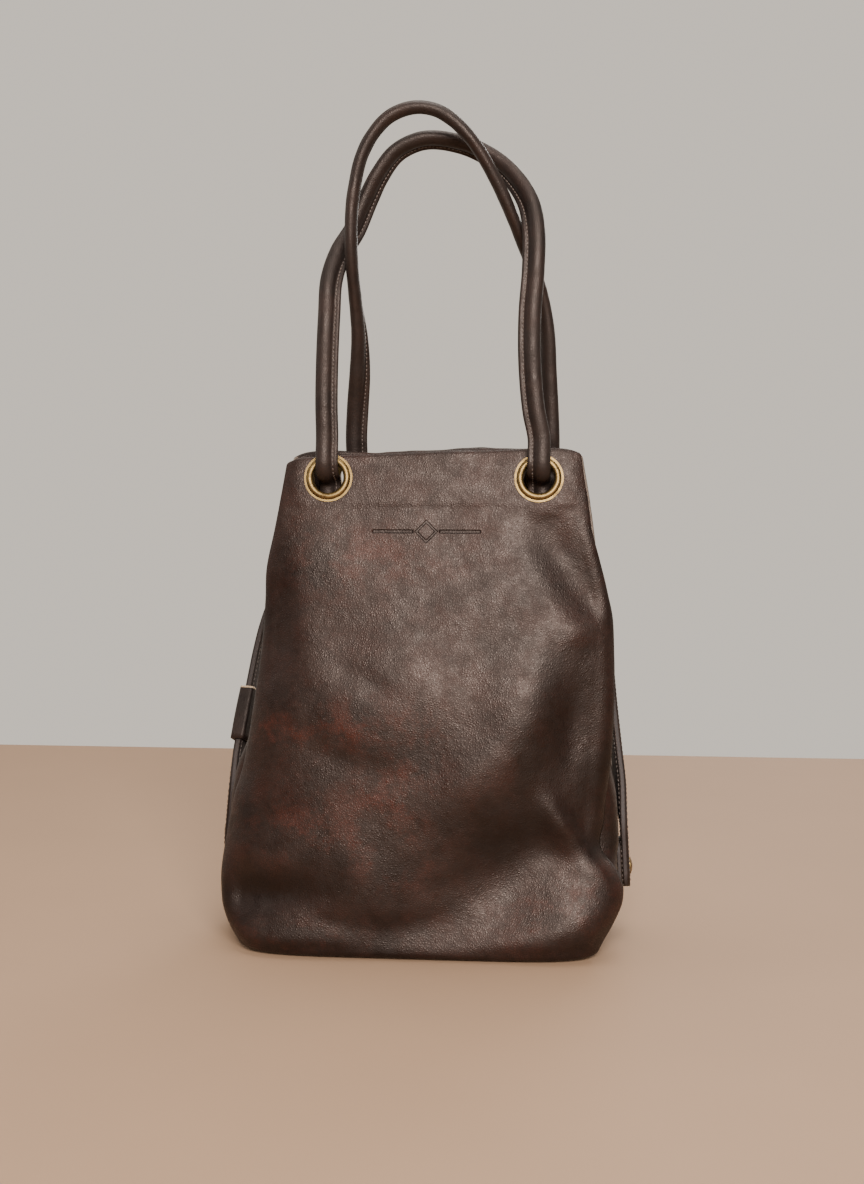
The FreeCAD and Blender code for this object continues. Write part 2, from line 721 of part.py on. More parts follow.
def back_strap(side):
    """Straight lower run carrying the keeper, then a free bow round behind the bag to the yoke."""
    sign, lower, upper, run = strap_frames(side)
    knee = lower.add(Vector(run).multiply(size("strap_straight")))
    curve = Part.BezierCurve()
    curve.setPoles([
        knee,
        knee.add(Vector(run).multiply(size("bow_start"))),
        upper.add(Vector(sign * size("bow_end"), size("bow_lift"), 0)),
        upper,
    ])
    side_facing, back_facing = strap_facing(sign), Vector(0.0, 1.0, 0.2)
    stations = 9
    wires = []
    for index in range(stations):
        share = index / (stations - 1)
        spot = curve.FirstParameter + share * (curve.LastParameter - curve.FirstParameter)
        tangent = curve.tangent(spot)[0]
        blend = share * share * (3 - 2 * share)
        facing = Vector(side_facing).multiply(1 - blend).add(Vector(back_facing).multiply(blend))
        wires.append(strap_rectangle(curve.value(spot), tangent, facing))
    bow = Part.makeLoft(wires, True, False)
    first = strap_rectangle(lower.sub(Vector(run).multiply(size("strap_wide") / 2)), run, side_facing)
    last = strap_rectangle(knee, run, side_facing)
    straight = Part.makeLoft([first, last], True, True).cut(below_joint(side))
    feature_of(side + "_back_strap", straight.fuse(bow).removeSplitter())


def strap_keeper():
    """Leather sleeve round the straight run of the left back strap."""
    sign, lower, _, run = strap_frames("left")
    name = "strap_keeper"
    body = doc.addObject("PartDesign::Body", name)
    inner_wide = add(dim("strap_wide", 0.5), dim("keeper_slack"))
    inner_thick = add(dim("strap_thick", 0.5), dim("keeper_slack"))
    sketch = new_sketch(body, name + "_outline", "XY_Plane", dim("keeper_long", -0.5))
    wall = dim("keeper_wall")
    outline(sketch, rounded_corners(add(inner_wide, wall), add(inner_thick, wall), wall))
    outline(sketch, [
        (minus(inner_wide), minus(inner_thick), None),
        (inner_wide, minus(inner_thick), None),
        (inner_wide, inner_thick, None),
        (minus(inner_wide), inner_thick, None),
    ])
    doc.recompute()
    pad(body, name + "_pad", sketch, dim("keeper_long"))
    normal = strap_facing(sign)
    normal = normal.sub(Vector(run).multiply(run.dot(normal))).normalize()
    breadth = normal.cross(run)
    spot = lower.add(Vector(run).multiply(size("keeper_place")))
    body.Placement = Placement(spot, Rotation(breadth, normal, run, "ZXY"))
    doc.recompute()


# ---------------------------------------------------------------- build

body_panels()
mouth_facing()
lining_sack()
flat_sheet("base_panel", ZERO, dim("base_leather"), 0.0)
flat_sheet("base_board", dim("board_margin"), dim("board"), size("base_leather"))

copies("eyelets", eyelet_form(), eyelet_places().values())
copies("eyelet_washers", washer_form(), eyelet_places().values())
copies("handle_end_rivets", stop_rivet_form(), eyelet_places().values(), size("stop_drop"))
stop = stop_form()
feature_of("handle_end_stops", Part.makeCompound([
    stop.Shape.transformed(place.toMatrix(), copy=True) for place in eyelet_places().values()
]))
for corner, spot in eyelet_places().items():
    handle_tail(corner + "_handle_tail", spot)
handle_loop("front_handle", FRONT, "front_handle_top")
handle_loop("rear_handle", BACK, "rear_handle_top")

side_patches()
strap_ends()
back_yoke()
strap_roots()
copies("strap_rivets", strap_rivet_form(), rivet_places().values())
back_strap("left")
back_strap("right")
strap_keeper()
doc.recompute()

NODES = [
    "front_panel", "back_panel", "left_gusset", "right_gusset", "base_panel", "base_board",
    "mouth_facing", "lining", "eyelets", "eyelet_washers",
    "front_handle", "rear_handle",
    "front_left_handle_tail", "front_right_handle_tail",
    "rear_left_handle_tail", "rear_right_handle_tail",
    "handle_end_stops", "handle_end_rivets",
    "back_yoke", "left_strap_root", "right_strap_root", "strap_rivets",
    "left_side_patch", "right_side_patch", "left_strap_end", "right_strap_end",
    "left_back_strap", "right_back_strap", "strap_keeper",
]

for item in doc.Objects:
    if "Invalid" in item.State or "Error" in item.State:
        raise RuntimeError(f"{item.Name} did not compute: {item.State}")
for node in NODES:
    item = doc.getObject(node)
    item.Label = node
    shape = item.Shape
    if shape.isNull() or not shape.isValid() or not shape.Solids:
        raise RuntimeError(f"{node} is not a valid solid")
    shape.exportStep(f"parts/{node}.step")
    box = shape.BoundBox
    print(node, len(shape.Solids), round(shape.Volume, 1),
          [round(value, 1) for value in (box.XMin, box.XMax, box.YMin, box.YMax, box.ZMin, box.ZMax)])
print("handle fold lines", pivot_point(FRONT), pivot_point(BACK))
for hand in ("left", "right"):
    print(hand, "strap ends and run", strap_frames(hand)[1:])
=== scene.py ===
import math

import bpy
import numpy as np
from mathutils import Matrix, Vector


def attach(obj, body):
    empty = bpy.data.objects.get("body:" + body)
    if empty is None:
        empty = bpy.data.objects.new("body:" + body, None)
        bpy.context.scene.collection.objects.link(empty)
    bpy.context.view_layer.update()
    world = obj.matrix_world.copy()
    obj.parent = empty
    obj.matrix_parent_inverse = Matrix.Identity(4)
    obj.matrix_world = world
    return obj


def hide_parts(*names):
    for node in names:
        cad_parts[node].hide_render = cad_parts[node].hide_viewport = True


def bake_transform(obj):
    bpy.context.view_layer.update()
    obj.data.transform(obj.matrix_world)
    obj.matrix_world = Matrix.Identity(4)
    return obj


# Leather bucket bag: soft walls, handles and straps round the CAD frame.
# Lengths are written in millimetres in the CAD part's own frame and turned into metres in make_mesh().

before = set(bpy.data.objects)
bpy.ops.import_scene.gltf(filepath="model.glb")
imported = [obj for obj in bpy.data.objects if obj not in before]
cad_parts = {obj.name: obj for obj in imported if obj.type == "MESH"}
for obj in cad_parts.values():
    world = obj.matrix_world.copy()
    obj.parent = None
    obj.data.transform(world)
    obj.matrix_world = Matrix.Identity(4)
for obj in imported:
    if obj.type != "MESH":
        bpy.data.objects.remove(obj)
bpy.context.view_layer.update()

MM = 0.001
FRONT, BACK = -1.0, 1.0
LEFT, RIGHT = -1.0, 1.0

# sections of the CAD body: height, half width, half depth, sideways shift of the middle
SECTION_LEVEL = (0.0, 38.0, 90.0, 150.0, 255.0, 304.0)
SECTION_WIDE = (108.0, 122.0, 118.0, 113.0, 99.0, 90.0)
SECTION_DEEP = (57.0, 60.0, 56.0, 50.0, 27.0, 17.0)
SECTION_SHIFT = (0.0, 1.0, 2.0, 8.0, 9.0, 9.0)

# side edges of the two panels, (height, position); the front ones were traced from the photo's outline
# through an estimated camera
FRONT_LEFT_EDGE = [
    (0, -106), (8, -110), (16, -115), (26, -119.5), (42, -121.3), (57, -119.7), (74, -116.8), (92, -113.3),
    (109, -108.1), (130, -103.8), (163, -98.6), (187, -95.9), (212, -94.0), (230, -93.1), (255, -87.9),
    (273, -84.6), (299, -80.3),
]
FRONT_RIGHT_EDGE = [
    (0, 108.5), (11, 113.5), (22, 119.5), (35, 124.8), (45, 124.4), (53, 120.1), (63, 112.4), (80, 114.1),
    (96, 115.0), (113, 117.2), (147, 119.1), (180, 118.8), (204, 117.6), (220, 114.5), (238, 109.6),
    (256, 104.6), (280, 100.8), (305, 97.2),
]
BACK_LEFT_EDGE = [
    (0, -107), (20, -117), (38, -120), (70, -114.5), (100, -108.5), (150, -102.5), (255, -90), (304, -81),
]
BACK_RIGHT_EDGE = [
    (0, 107), (20, 118), (38, 122.5), (60, 122.5), (82, 120.6), (105, 118.6), (150, 116), (255, 106),
    (304, 98),
]
# half depth of the panels and squareness of their plan, by height
DEPTH = [(0, 57.5), (38, 60), (90, 56), (150, 50), (255, 27), (304, 17)]
SQUARENESS = [(0, 5.5), (25, 4.6), (60, 3.4), (100, 3.2), (150, 3.6), (230, 5), (265, 8), (304, 9)]
# share of its half width at which a panel's curve stops for the seam
EDGE_SHARE = 0.967
BASE_GAP = 0.3
BOTTOM_ROUND = 5.0
BOTTOM_UNDER = 15.0
RIM_ROUND = 1.9
LEATHER = 2.2
SEAM_LIP = 3.0
PANEL_COLUMNS, PANEL_ROWS = 170, 190
GUSSET_COLUMNS, GUSSET_ROWS = 46, 120
HEM_LEVEL = 269.4

# pressed ornament on the front panel
ORNAMENT_MIDDLE, ORNAMENT_LEVEL = 5.5, 255.0
ORNAMENT_HALF, ORNAMENT_DIAMOND = 33.0, 7.5

# hardware, placed as in the CAD part
EYELET_LEVEL = 287.0
FRONT_EYELETS = (9.0 - 63.7, 9.0 + 63.7)
REAR_EYELETS = (17.0 - 60.5, 17.0 + 60.5)
YOKE_LEVEL, YOKE_MIDDLE = 232.0, 9.0
YOKE_HALF = (31.0, 19.0)
PLATE_THICK = 2.5
PANEL_HOLE, FACING_HOLE = 11.2, 11.4
BASE_HALF = (98.0, 46.0)
BASE_LEVEL, BASE_THICK = 2.3, 1.8
LEFT_RIVET_LEVEL, RIGHT_RIVET_LEVEL = 61.0, 43.2
RIVET_BACK = 12.0
STRAP_OFF = 4.95


# ---- small tools

def through(points, at):
    """Smooth curve through (position, value) points, read at an array of positions."""
    spots, values = np.array(points, float).T
    slopes = np.gradient(values, spots)
    at = np.clip(np.asarray(at, float), spots[0], spots[-1])
    index = np.clip(np.searchsorted(spots, at) - 1, 0, len(spots) - 2)
    gap = spots[index + 1] - spots[index]
    t = (at - spots[index]) / gap
    start = values[index] * (2 * t ** 3 - 3 * t ** 2 + 1) + slopes[index] * gap * (t ** 3 - 2 * t ** 2 + t)
    end = values[index + 1] * (3 * t ** 2 - 2 * t ** 3) + slopes[index + 1] * gap * (t ** 3 - t ** 2)
    return start + end


def step(value, low, high):
    """Smooth step from 0 at low to 1 at high."""
    t = np.clip((np.asarray(value, float) - low) / (high - low), 0, 1)
    return t * t * (3 - 2 * t)


def unit(vectors):
    """Vectors scaled to length one."""
    vectors = np.asarray(vectors, float)
    return vectors / np.maximum(np.linalg.norm(vectors, axis=-1, keepdims=True), 1e-9)


def smooth_path(points, gap):
    """Points spaced evenly along a smooth curve through the given rows of numbers."""
    points = np.array(points, float)
    travel = np.concatenate([[0], np.cumsum(np.linalg.norm(np.diff(points[:, :3], axis=0), axis=1))])
    at = np.linspace(0, travel[-1], int(travel[-1] / gap) + 1)
    columns = [through(list(zip(travel, column)), at) for column in points.T]
    return np.stack(columns, axis=-1)


def ripple(first, second, wave, seed):
    """Soft uneven swell between about -1 and 1 over two coordinates."""
    total = np.zeros_like(np.asarray(first, float))
    for turn in range(5):
        angle = seed + 2.4 * turn
        pace = 2 * math.pi / (wave * (0.62 + 0.21 * turn))
        along = first * math.cos(angle) + second * math.sin(angle)
        total = total + np.sin(along * pace + 1.7 * seed + 3.1 * turn)
    return total / 3.5


def grid_faces(rows, columns, closed=False, keep=None):
    """Quads of a grid; closed joins the last column to the first, keep marks the quads that stay."""
    faces = []
    for row in range(rows - 1):
        for column in range(columns if closed else columns - 1):
            after = (column + 1) % columns
            if keep is None or keep[row, column]:
                low, high = row * columns, (row + 1) * columns
                faces.append((low + column, low + after, high + after, high + column))
    return faces


def make_mesh(name, points, faces, materials, slots=None):
    """A smooth-shaded mesh object from points in millimetres."""
    mesh = bpy.data.meshes.new(name)
    mesh.from_pydata((np.asarray(points, float).reshape(-1, 3) * MM).tolist(), [], faces)
    for material in materials:
        mesh.materials.append(material)
    mesh.polygons.foreach_set("use_smooth", [True] * len(faces))
    if slots is not None:
        mesh.polygons.foreach_set("material_index", slots)
    mesh.update()
    made = bpy.data.objects.new(name, mesh)
    bpy.context.scene.collection.objects.link(made)
    return made


def paint(made, name, values):
    """A number on every vertex, for the shaders to read."""
    layer = made.data.attributes.new(name, "FLOAT", "POINT")
    layer.data.foreach_set("value", np.asarray(values, np.float32).ravel())


def thicken(made, thickness, rim_slot):
    """Gives a sheet its thickness towards the inside, its cut edges taking another material."""
    solid = made.modifiers.new("thickness", "SOLIDIFY")
    solid.thickness = thickness * MM
    solid.offset = -1.0
    solid.material_offset_rim = rim_slot


def settle(made, body, name):
    """Puts a finished piece on its CAD body in place of the CAD node of that name."""
    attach(made, body)
    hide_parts(name)


# ---- CAD walls

def section(values, level):
    """A CAD section measure at a height."""
    return np.interp(level, SECTION_LEVEL, values)


def side_wall(side, level):
    """Position of the CAD side wall at a height."""
    return section(SECTION_SHIFT, level) + side * section(SECTION_WIDE, level)


def wall_frame(turn, across, level):
    """Matrix of a spot on the outer wall: own Y points inwards, own Z up along the wall."""
    facing_side = {-90: LEFT, 90: RIGHT}.get(turn)

    def distance(at):
        """Distance of the wall from the middle of the bag."""
        if facing_side is None:
            return float(section(SECTION_DEEP, at))
        return abs(float(side_wall(facing_side, at)))

    low = max(item for item in SECTION_LEVEL[:-1] if item <= level)
    high = min(item for item in SECTION_LEVEL if item > level)
    lean = math.atan2(distance(low) - distance(high), high - low)
    turned = Matrix.Rotation(math.radians(turn), 4, "Z")
    spot = turned @ Vector((across, -distance(level), 0))
    if facing_side is None:
        spot.x += float(section(SECTION_SHIFT, level))
    spot.z = level
    return Matrix.Translation(spot) @ turned @ Matrix.Rotation(-lean, 4, "X")


def placed(matrix, points):
    """Local points carried by a matrix."""
    return np.array([list(matrix @ Vector(point)) for point in points])


# ---- shaders

def new_material(name):
    """A material with an empty node tree."""
    material = bpy.data.materials.new(name)
    material.use_nodes = True
    material.node_tree.nodes.clear()
    return material, material.node_tree


def node(tree, kind, inputs=None, **settings):
    """A shader node with its inputs linked or set."""
    made = tree.nodes.new("ShaderNode" + kind)
    for key, value in settings.items():
        setattr(made, key, value)
    for key, value in (inputs or {}).items():
        if isinstance(value, bpy.types.NodeSocket):
            tree.links.new(value, made.inputs[key])
        else:
            made.inputs[key].default_value = value
    return made


def millimetres(tree):
    """Position on the object in millimetres."""
    place = node(tree, "TexCoord").outputs["Object"]
    return node(tree, "VectorMath", {0: place, 1: (1000.0,) * 3}, operation="MULTIPLY").outputs[0]


def noise(tree, place, size, detail=3.0, rough=0.55, stretch=None):
    """Noise whose features are about size millimetres across."""
    if stretch is not None:
        place = node(tree, "VectorMath", {0: place, 1: stretch}, operation="MULTIPLY").outputs[0]
    inputs = {"Vector": place, "Scale": 1.0 / size, "Detail": detail, "Roughness": rough}
    return node(tree, "TexNoise", inputs).outputs[0]


def maths(tree, operation, first, second=0.0):
    """One step of arithmetic."""
    return node(tree, "Math", {0: first, 1: second}, operation=operation).outputs[0]


def remap(tree, value, low, high, to_low=0.0, to_high=1.0):
    """A value carried from one range to another, with soft ends."""
    inputs = {"Value": value, "From Min": low, "From Max": high, "To Min": to_low, "To Max": to_high}
    return node(tree, "MapRange", inputs, interpolation_type="SMOOTHSTEP").outputs[0]


def mix(tree, factor, first, second):
    """One colour faded into another."""
    made = node(tree, "Mix", {0: factor}, data_type="RGBA")
    for index, colour in ((6, first), (7, second)):
        if isinstance(colour, bpy.types.NodeSocket):
            tree.links.new(colour, made.inputs[index])
        else:
            made.inputs[index].default_value = (*colour, 1.0)
    return made.outputs[2]


def bump(tree, height, depth, normal=None):
    """Relief of the given depth in millimetres."""
    inputs = {"Height": height, "Distance": depth * MM, "Strength": 1.0}
    if normal is not None:
        inputs["Normal"] = normal
    return node(tree, "Bump", inputs).outputs[0]


def read(tree, name):
    """A number painted on the vertices."""
    return node(tree, "Attribute", attribute_name=name).outputs["Fac"]


def surface(tree, colour, roughness, normal, **extra):
    """The principled surface that ends a material."""
    inputs = {"Base Color": colour, "Roughness": roughness, "Normal": normal}
    inputs.update(extra)
    shader = node(tree, "BsdfPrincipled", inputs)
    node(tree, "OutputMaterial", {"Surface": shader.outputs[0]})


def ornament_height(tree, place):
    """A pressed line with a small diamond in its middle, high on the front panel."""
    split = node(tree, "SeparateXYZ", {0: place})
    across = maths(tree, "ABSOLUTE", maths(tree, "SUBTRACT", split.outputs[0], ORNAMENT_MIDDLE))
    up = maths(tree, "ABSOLUTE", maths(tree, "SUBTRACT", split.outputs[2], ORNAMENT_LEVEL))
    inside = remap(tree, across, ORNAMENT_HALF - 1.0, ORNAMENT_HALF, 1.0, 0.0)
    outside = remap(tree, across, ORNAMENT_DIAMOND, ORNAMENT_DIAMOND + 1.0)
    bar = maths(tree, "MULTIPLY", inside, outside)
    line = maths(tree, "MULTIPLY", remap(tree, up, 0.6, 1.3, 1.0, 0.0), bar)
    reach = maths(tree, "ADD", across, up)
    ring = maths(tree, "ABSOLUTE", maths(tree, "SUBTRACT", reach, ORNAMENT_DIAMOND - 1.5))
    diamond = remap(tree, ring, 0.6, 1.3, 1.0, 0.0)
    return maths(tree, "MAXIMUM", line, diamond)


def grain_cells(tree, place):
    """Distance from the valleys between the small pebbles of the grain."""
    sway = maths(tree, "MULTIPLY", noise(tree, place, 2.4, 2.0), 1.6)
    shaken = node(tree, "VectorMath", {0: place, 1: sway}, operation="ADD").outputs[0]
    inputs = {"Vector": shaken, "Scale": 0.72}
    return node(tree, "TexVoronoi", inputs, feature="DISTANCE_TO_EDGE").outputs[0]


def leather_colour(tree, place, cells, dark, base, red, painted):
    """Cloudy colour with rubbed red patches, painted shade over the front panel's hollows and grooves, and
    dark valleys in the grain.
    """
    clouds = noise(tree, place, 48.0, 6.0, 0.62)
    blotch = noise(tree, place, 15.0, 7.0, 0.68)
    fleck = noise(tree, place, 2.6, 4.0, 0.6)
    warm = remap(tree, noise(tree, place, 26.0, 9.0, 0.74), 0.44, 0.62)
    colour = mix(tree, remap(tree, clouds, 0.34, 0.62), dark, base)
    colour = mix(tree, remap(tree, blotch, 0.46, 0.72, 0.0, 0.6), colour, dark)
    if painted:
        red_and_painted_shade = read(tree, "red_and_painted_shade")
        rubbed = maths(tree, "ADD", maths(tree, "MAXIMUM", red_and_painted_shade, 0.0), 0.22)
        # painted shade: where the painted numbers fall below 0 the front panel is darkened over its hollows
        # and grooves
        painted_shade = maths(tree, "MAXIMUM", maths(tree, "MULTIPLY", red_and_painted_shade, -0.9), 0.0)
        colour = mix(tree, maths(tree, "MULTIPLY", warm, rubbed), colour, red)
        colour = mix(tree, painted_shade, colour, dark)
    else:
        colour = mix(tree, maths(tree, "MULTIPLY", warm, 0.4), colour, red)
    colour = mix(tree, remap(tree, fleck, 0.48, 0.75, 0.0, 0.4), colour, dark)
    return mix(tree, remap(tree, cells, 0.0, 0.22, 0.5, 0.0), colour, dark)


def leather(name, dark, base, red, roughness, grain=0.10, ornament=False, painted=False):
    """Waxed full-grain leather with soft drape, fine creases and a pebbled grain."""
    material, tree = new_material(name)
    place = millimetres(tree)
    cells = grain_cells(tree, place)
    colour = leather_colour(tree, place, cells, dark, base, red, painted)
    normal = bump(tree, noise(tree, place, 24.0, 3.0, 0.5), 0.5)
    normal = bump(tree, noise(tree, place, 6.0, 3.0, 0.6), 0.20, normal)
    normal = bump(tree, remap(tree, cells, 0.0, 0.55), grain, normal)
    if ornament:
        pressed = ornament_height(tree, place)
        normal = bump(tree, maths(tree, "SUBTRACT", 1.0, pressed), 1.1, normal)
        colour = mix(tree, maths(tree, "MULTIPLY", pressed, 0.85), colour, dark)
    wear = noise(tree, place, 11.0, 6.0, 0.65)
    shine = remap(tree, wear, 0.3, 0.7, roughness - 0.07, roughness + 0.09)
    shine = maths(tree, "ADD", shine, remap(tree, cells, 0.0, 0.2, 0.14, 0.0))
    specular = {"Specular IOR Level": 0.34, "Specular Tint": (1.0, 0.80, 0.70, 1.0)}
    surface(tree, colour, shine, normal, **specular)
    return material


def cut_edge(name, colour, darker):
    """Raw or painted cut edge of leather, with layered fibres."""
    material, tree = new_material(name)
    place = millimetres(tree)
    fibres = noise(tree, place, 0.6, 3.0, 0.6, (1.0, 1.0, 0.35))
    tint = mix(tree, remap(tree, fibres, 0.3, 0.7), darker, colour)
    surface(tree, tint, 0.72, bump(tree, fibres, 0.12))
    return material


def mottled(name, colour, fade, grain, roughness, depth):
    """A plain material, paler and darker in places; grain holds the settings of its noise."""
    material, tree = new_material(name)
    pattern = noise(tree, millimetres(tree), *grain)
    tint = mix(tree, pattern, colour, tuple(channel * fade for channel in colour))
    surface(tree, tint, roughness, bump(tree, pattern, depth))
    return material


def brass(name):
    """Old brass: warm metal, finely brushed, with dull brown tarnish in places."""
    material, tree = new_material(name)
    place = millimetres(tree)
    stain = remap(tree, noise(tree, place, 4.0, 5.0, 0.65), 0.48, 0.72)
    brushed = noise(tree, place, 0.5, 3.0, 0.6, (1.0, 1.0, 6.0))
    tint = mix(tree, stain, (0.20, 0.130, 0.050), (0.075, 0.045, 0.018))
    shine = remap(tree, brushed, 0.2, 0.8, 0.38, 0.56)
    surface(tree, tint, shine, bump(tree, brushed, 0.02), **{"Metallic": 1.0})
    return material


def cloth(name, colour):
    """Fine twill lining."""
    material, tree = new_material(name)
    place = millimetres(tree)
    inputs = {"Vector": place, "Scale": 0.9, "Distortion": 0.6}
    waves = node(tree, "TexWave", inputs, bands_direction="DIAGONAL")
    slub = noise(tree, place, 9.0, 4.0)
    tint = mix(tree, slub, colour, tuple(channel * 0.6 for channel in colour))
    surface(tree, tint, 0.9, bump(tree, waves.outputs[1], 0.15))
    return material


# darkest leather colour, also the colour of the painted shade over the front panel's hollows
WAX_DARK_AND_SHADE = (0.0045, 0.0024, 0.0019)
front_leather = leather(
    "front_leather", WAX_DARK_AND_SHADE, (0.0165, 0.0080, 0.0060), (0.044, 0.0112, 0.0070), 0.42,
    ornament=True, painted=True,
)
body_leather = leather(
    "body_leather", WAX_DARK_AND_SHADE, (0.0150, 0.0074, 0.0056), (0.034, 0.0098, 0.0065), 0.43,
)
strap_leather = leather(
    "strap_leather", (0.0065, 0.0044, 0.0038), (0.0145, 0.0094, 0.0078), (0.026, 0.0125, 0.0090), 0.46,
    grain=0.07,
)
inner_leather = leather(
    "inner_leather", (0.018, 0.012, 0.010), (0.030, 0.019, 0.016), (0.045, 0.022, 0.016), 0.6,
    grain=0.05,
)
raw_edge = cut_edge("raw_edge", (0.20, 0.155, 0.125), (0.09, 0.065, 0.05))
pale_edge = cut_edge("pale_edge", (0.46, 0.33, 0.21), (0.24, 0.155, 0.09))
dark_edge = cut_edge("dark_edge", (0.035, 0.022, 0.018), (0.018, 0.012, 0.010))
dark_thread = mottled("dark_thread", (0.095, 0.066, 0.052), 0.55, (0.35, 2.0), 0.5, 0.08)
antique_brass = brass("antique_brass")
lining_cloth = cloth("lining_cloth", (0.10, 0.068, 0.048))
fibre_board = mottled("fibre_board", (0.20, 0.15, 0.11), 0.6, (1.6, 6.0, 0.7), 0.85, 0.15)


# ---- relief of the soft walls

def hollow(x, z, spot, spread, turn, amount):
    """A soft oval swelling or hollow."""
    angle = math.radians(turn)
    along = (x - spot[0]) * math.cos(angle) + (z - spot[1]) * math.sin(angle)
    aside = (z - spot[1]) * math.cos(angle) - (x - spot[0]) * math.sin(angle)
    return amount * np.exp(-0.5 * ((along / spread[0]) ** 2 + (aside / spread[1]) ** 2))


def crease(x, z, path, width, amount):
    """A ridge or groove along a smooth line of points, dying away towards both ends."""
    line = smooth_path([(across, up, 0.0) for across, up in path], 2.0)
    strongest = np.zeros(np.shape(x))
    for share, (across, up, _) in zip(np.linspace(0, 1, len(line)), line):
        height = step(share, 0, 0.35) * step(1 - share, 0, 0.35)
        near = (x - across) ** 2 + (z - up) ** 2
        strongest = np.maximum(strongest, height * np.exp(-0.5 * near / width ** 2))
    return amount * strongest


# folds of the panels: points (across, up) along each, its width and its height
FRONT_CREASES = (
    # folds that run in from the upper right edge
    (((62, 266), (80, 250), (96, 226), (124, 190)), 10, -5.0),
    (((82, 192), (104, 200), (132, 212)), 6, 2.0),
    # upright ridge in front of the pressed-in right side
    (((-6, 80), (34, 106), (58, 132), (70, 168), (72, 190)), 13, 4.0),
    # ledge that catches the light over the lower right corner
    (((74, 108), (86, 86), (100, 67), (117, 54), (136, 44)), 6, 6.0),
    # shallow wrinkles
    (((-70, 26), (-20, 19), (34, 24)), 6, -1.6),
    (((-92, 134), (-42, 120), (4, 108)), 8, -1.3),
    (((-88, 240), (-85, 200), (-86, 158)), 8, -2.6),
    (((-58, 176), (-30, 168), (-8, 152)), 5, -0.9),
)
BACK_CREASES = (
    # soft folds on both sides of the yoke
    (((-60, 250), (-88, 215), (-96, 180)), 12, -4.0),
    (((70, 250), (98, 214), (104, 176)), 12, -4.0),
    (((-70, 96), (-20, 84), (40, 92)), 8, -2.4),
    (((-108, 52), (-70, 40)), 7, -3.0),
    (((110, 60), (74, 44)), 7, -3.0),
)

# swellings and hollows: middle (across, up), spread, turn in degrees and height
FRONT_HOLLOWS = (
    # pressed-in right side
    ((97, 140), (13, 28), -6, -8.0),
    # slumped lower right corner
    ((60, 52), (37, 21), 27, -14.0),
    ((86, 17), (26, 9), 14, 4.0),
    ((40, 10), (26, 7), 8, 2.0),
    # slumped lower left corner
    ((-94, 37), (26, 10), 6, -8.5),
    ((-84, 9), (30, 7), 4, 3.0),
    # shallow dents over the middle
    ((-10, 150), (28, 24), 0, 1.4),
    ((43, 190), (16, 13), 20, -1.0),
    ((-38, 192), (22, 16), -15, -1.0),
)
BACK_HOLLOWS = (((0, 120), (60, 45), 0, 2.5),)

# red and painted shade of the front panel, in the same form: above 0 it has rubbed through to red, below 0
# it is darkened as painted shade over the hollows and grooves
FRONT_RED_AND_PAINTED_SHADE = (
    ((-84, 136), (18, 9), -10, 0.9), ((-36, 140), (14, 11), 0, 0.8), ((4, 134), (10, 12), 0, 0.7),
    ((-15, 98), (16, 12), 20, 0.9), ((-12, 59), (22, 14), 0, 0.7), ((-70, 74), (24, 13), 0, 0.8),
    ((-36, 240), (40, 13), 0, 0.6), ((84, 34), (26, 10), 15, 0.7), ((-78, 16), (30, 8), 0, 0.6),
    # painted shade: these entries below 0 sit on the hollows and grooves of the front relief
    ((-92, 36), (30, 10), 6, -1.0), ((60, 76), (36, 16), 32, -0.9), ((94, 142), (13, 28), -6, -0.7),
    ((78, 232), (12, 20), 35, -0.6), ((-86, 205), (8, 30), 0, -0.5), ((-50, 47), (22, 9), -12, -0.6),
)


def folded(x, z, creases, hollows):
    """Sum of a panel's creases and hollows."""
    total = np.zeros(np.shape(x))
    for path, width, amount in creases:
        total = total + crease(x, z, path, width, amount)
    for spot, spread, turn, amount in hollows:
        total = total + hollow(x, z, spot, spread, turn, amount)
    return total


def front_relief(x, z):
    """How far the front panel stands out from its smooth form."""
    hem = 0.4 * step(z, 267.5, 272.0) - 0.22 * np.exp(-((z - HEM_LEVEL) / 1.8) ** 2)
    swell = 0.55 * ripple(x, z, 74.0, 0.6) + 0.12 * ripple(x, z, 27.0, 1.9)
    return hem + folded(x, z, FRONT_CREASES, FRONT_HOLLOWS) + swell


def back_relief(x, z):
    """The same for the back panel, which is gentler."""
    hem = 0.8 * step(z, 268.4, 270.8) - 0.7 * np.exp(-((z - HEM_LEVEL) / 1.6) ** 2)
    swell = 0.9 * ripple(x, z, 64.0, 2.7) + 0.25 * ripple(x, z, 22.0, 0.4)
    return hem + folded(x, z, BACK_CREASES, BACK_HOLLOWS) + swell


def front_red_and_painted_shade(x, z):
    """Tone of the front panel between -1, painted shade over its hollows and grooves, and 1, rubbed red."""
    return np.clip(folded(x, z, (), FRONT_RED_AND_PAINTED_SHADE), -1, 1)


# ---- panels, gussets and what lies inside them

def rim_height(side, share):
    """Top of a panel; the front one rises a little to the right and both have small round corners."""
    corner = 3.0 * np.abs(share) ** 18
    if side == FRONT:
        return 302.4 + 3.0 * share - corner
    return 303.0 + 0.8 * np.sin(2.2 * share) - corner


def gusset_rim(side, share):
    """Top of a gusset, dipping where it folds inwards."""
    ends = [float(rim_height(FRONT, side)), float(rim_height(BACK, side))]
    level = ends[0] + (ends[1] - ends[0]) * share
    return level - 1.0 - 7.0 * np.sin(math.pi * share) ** 2


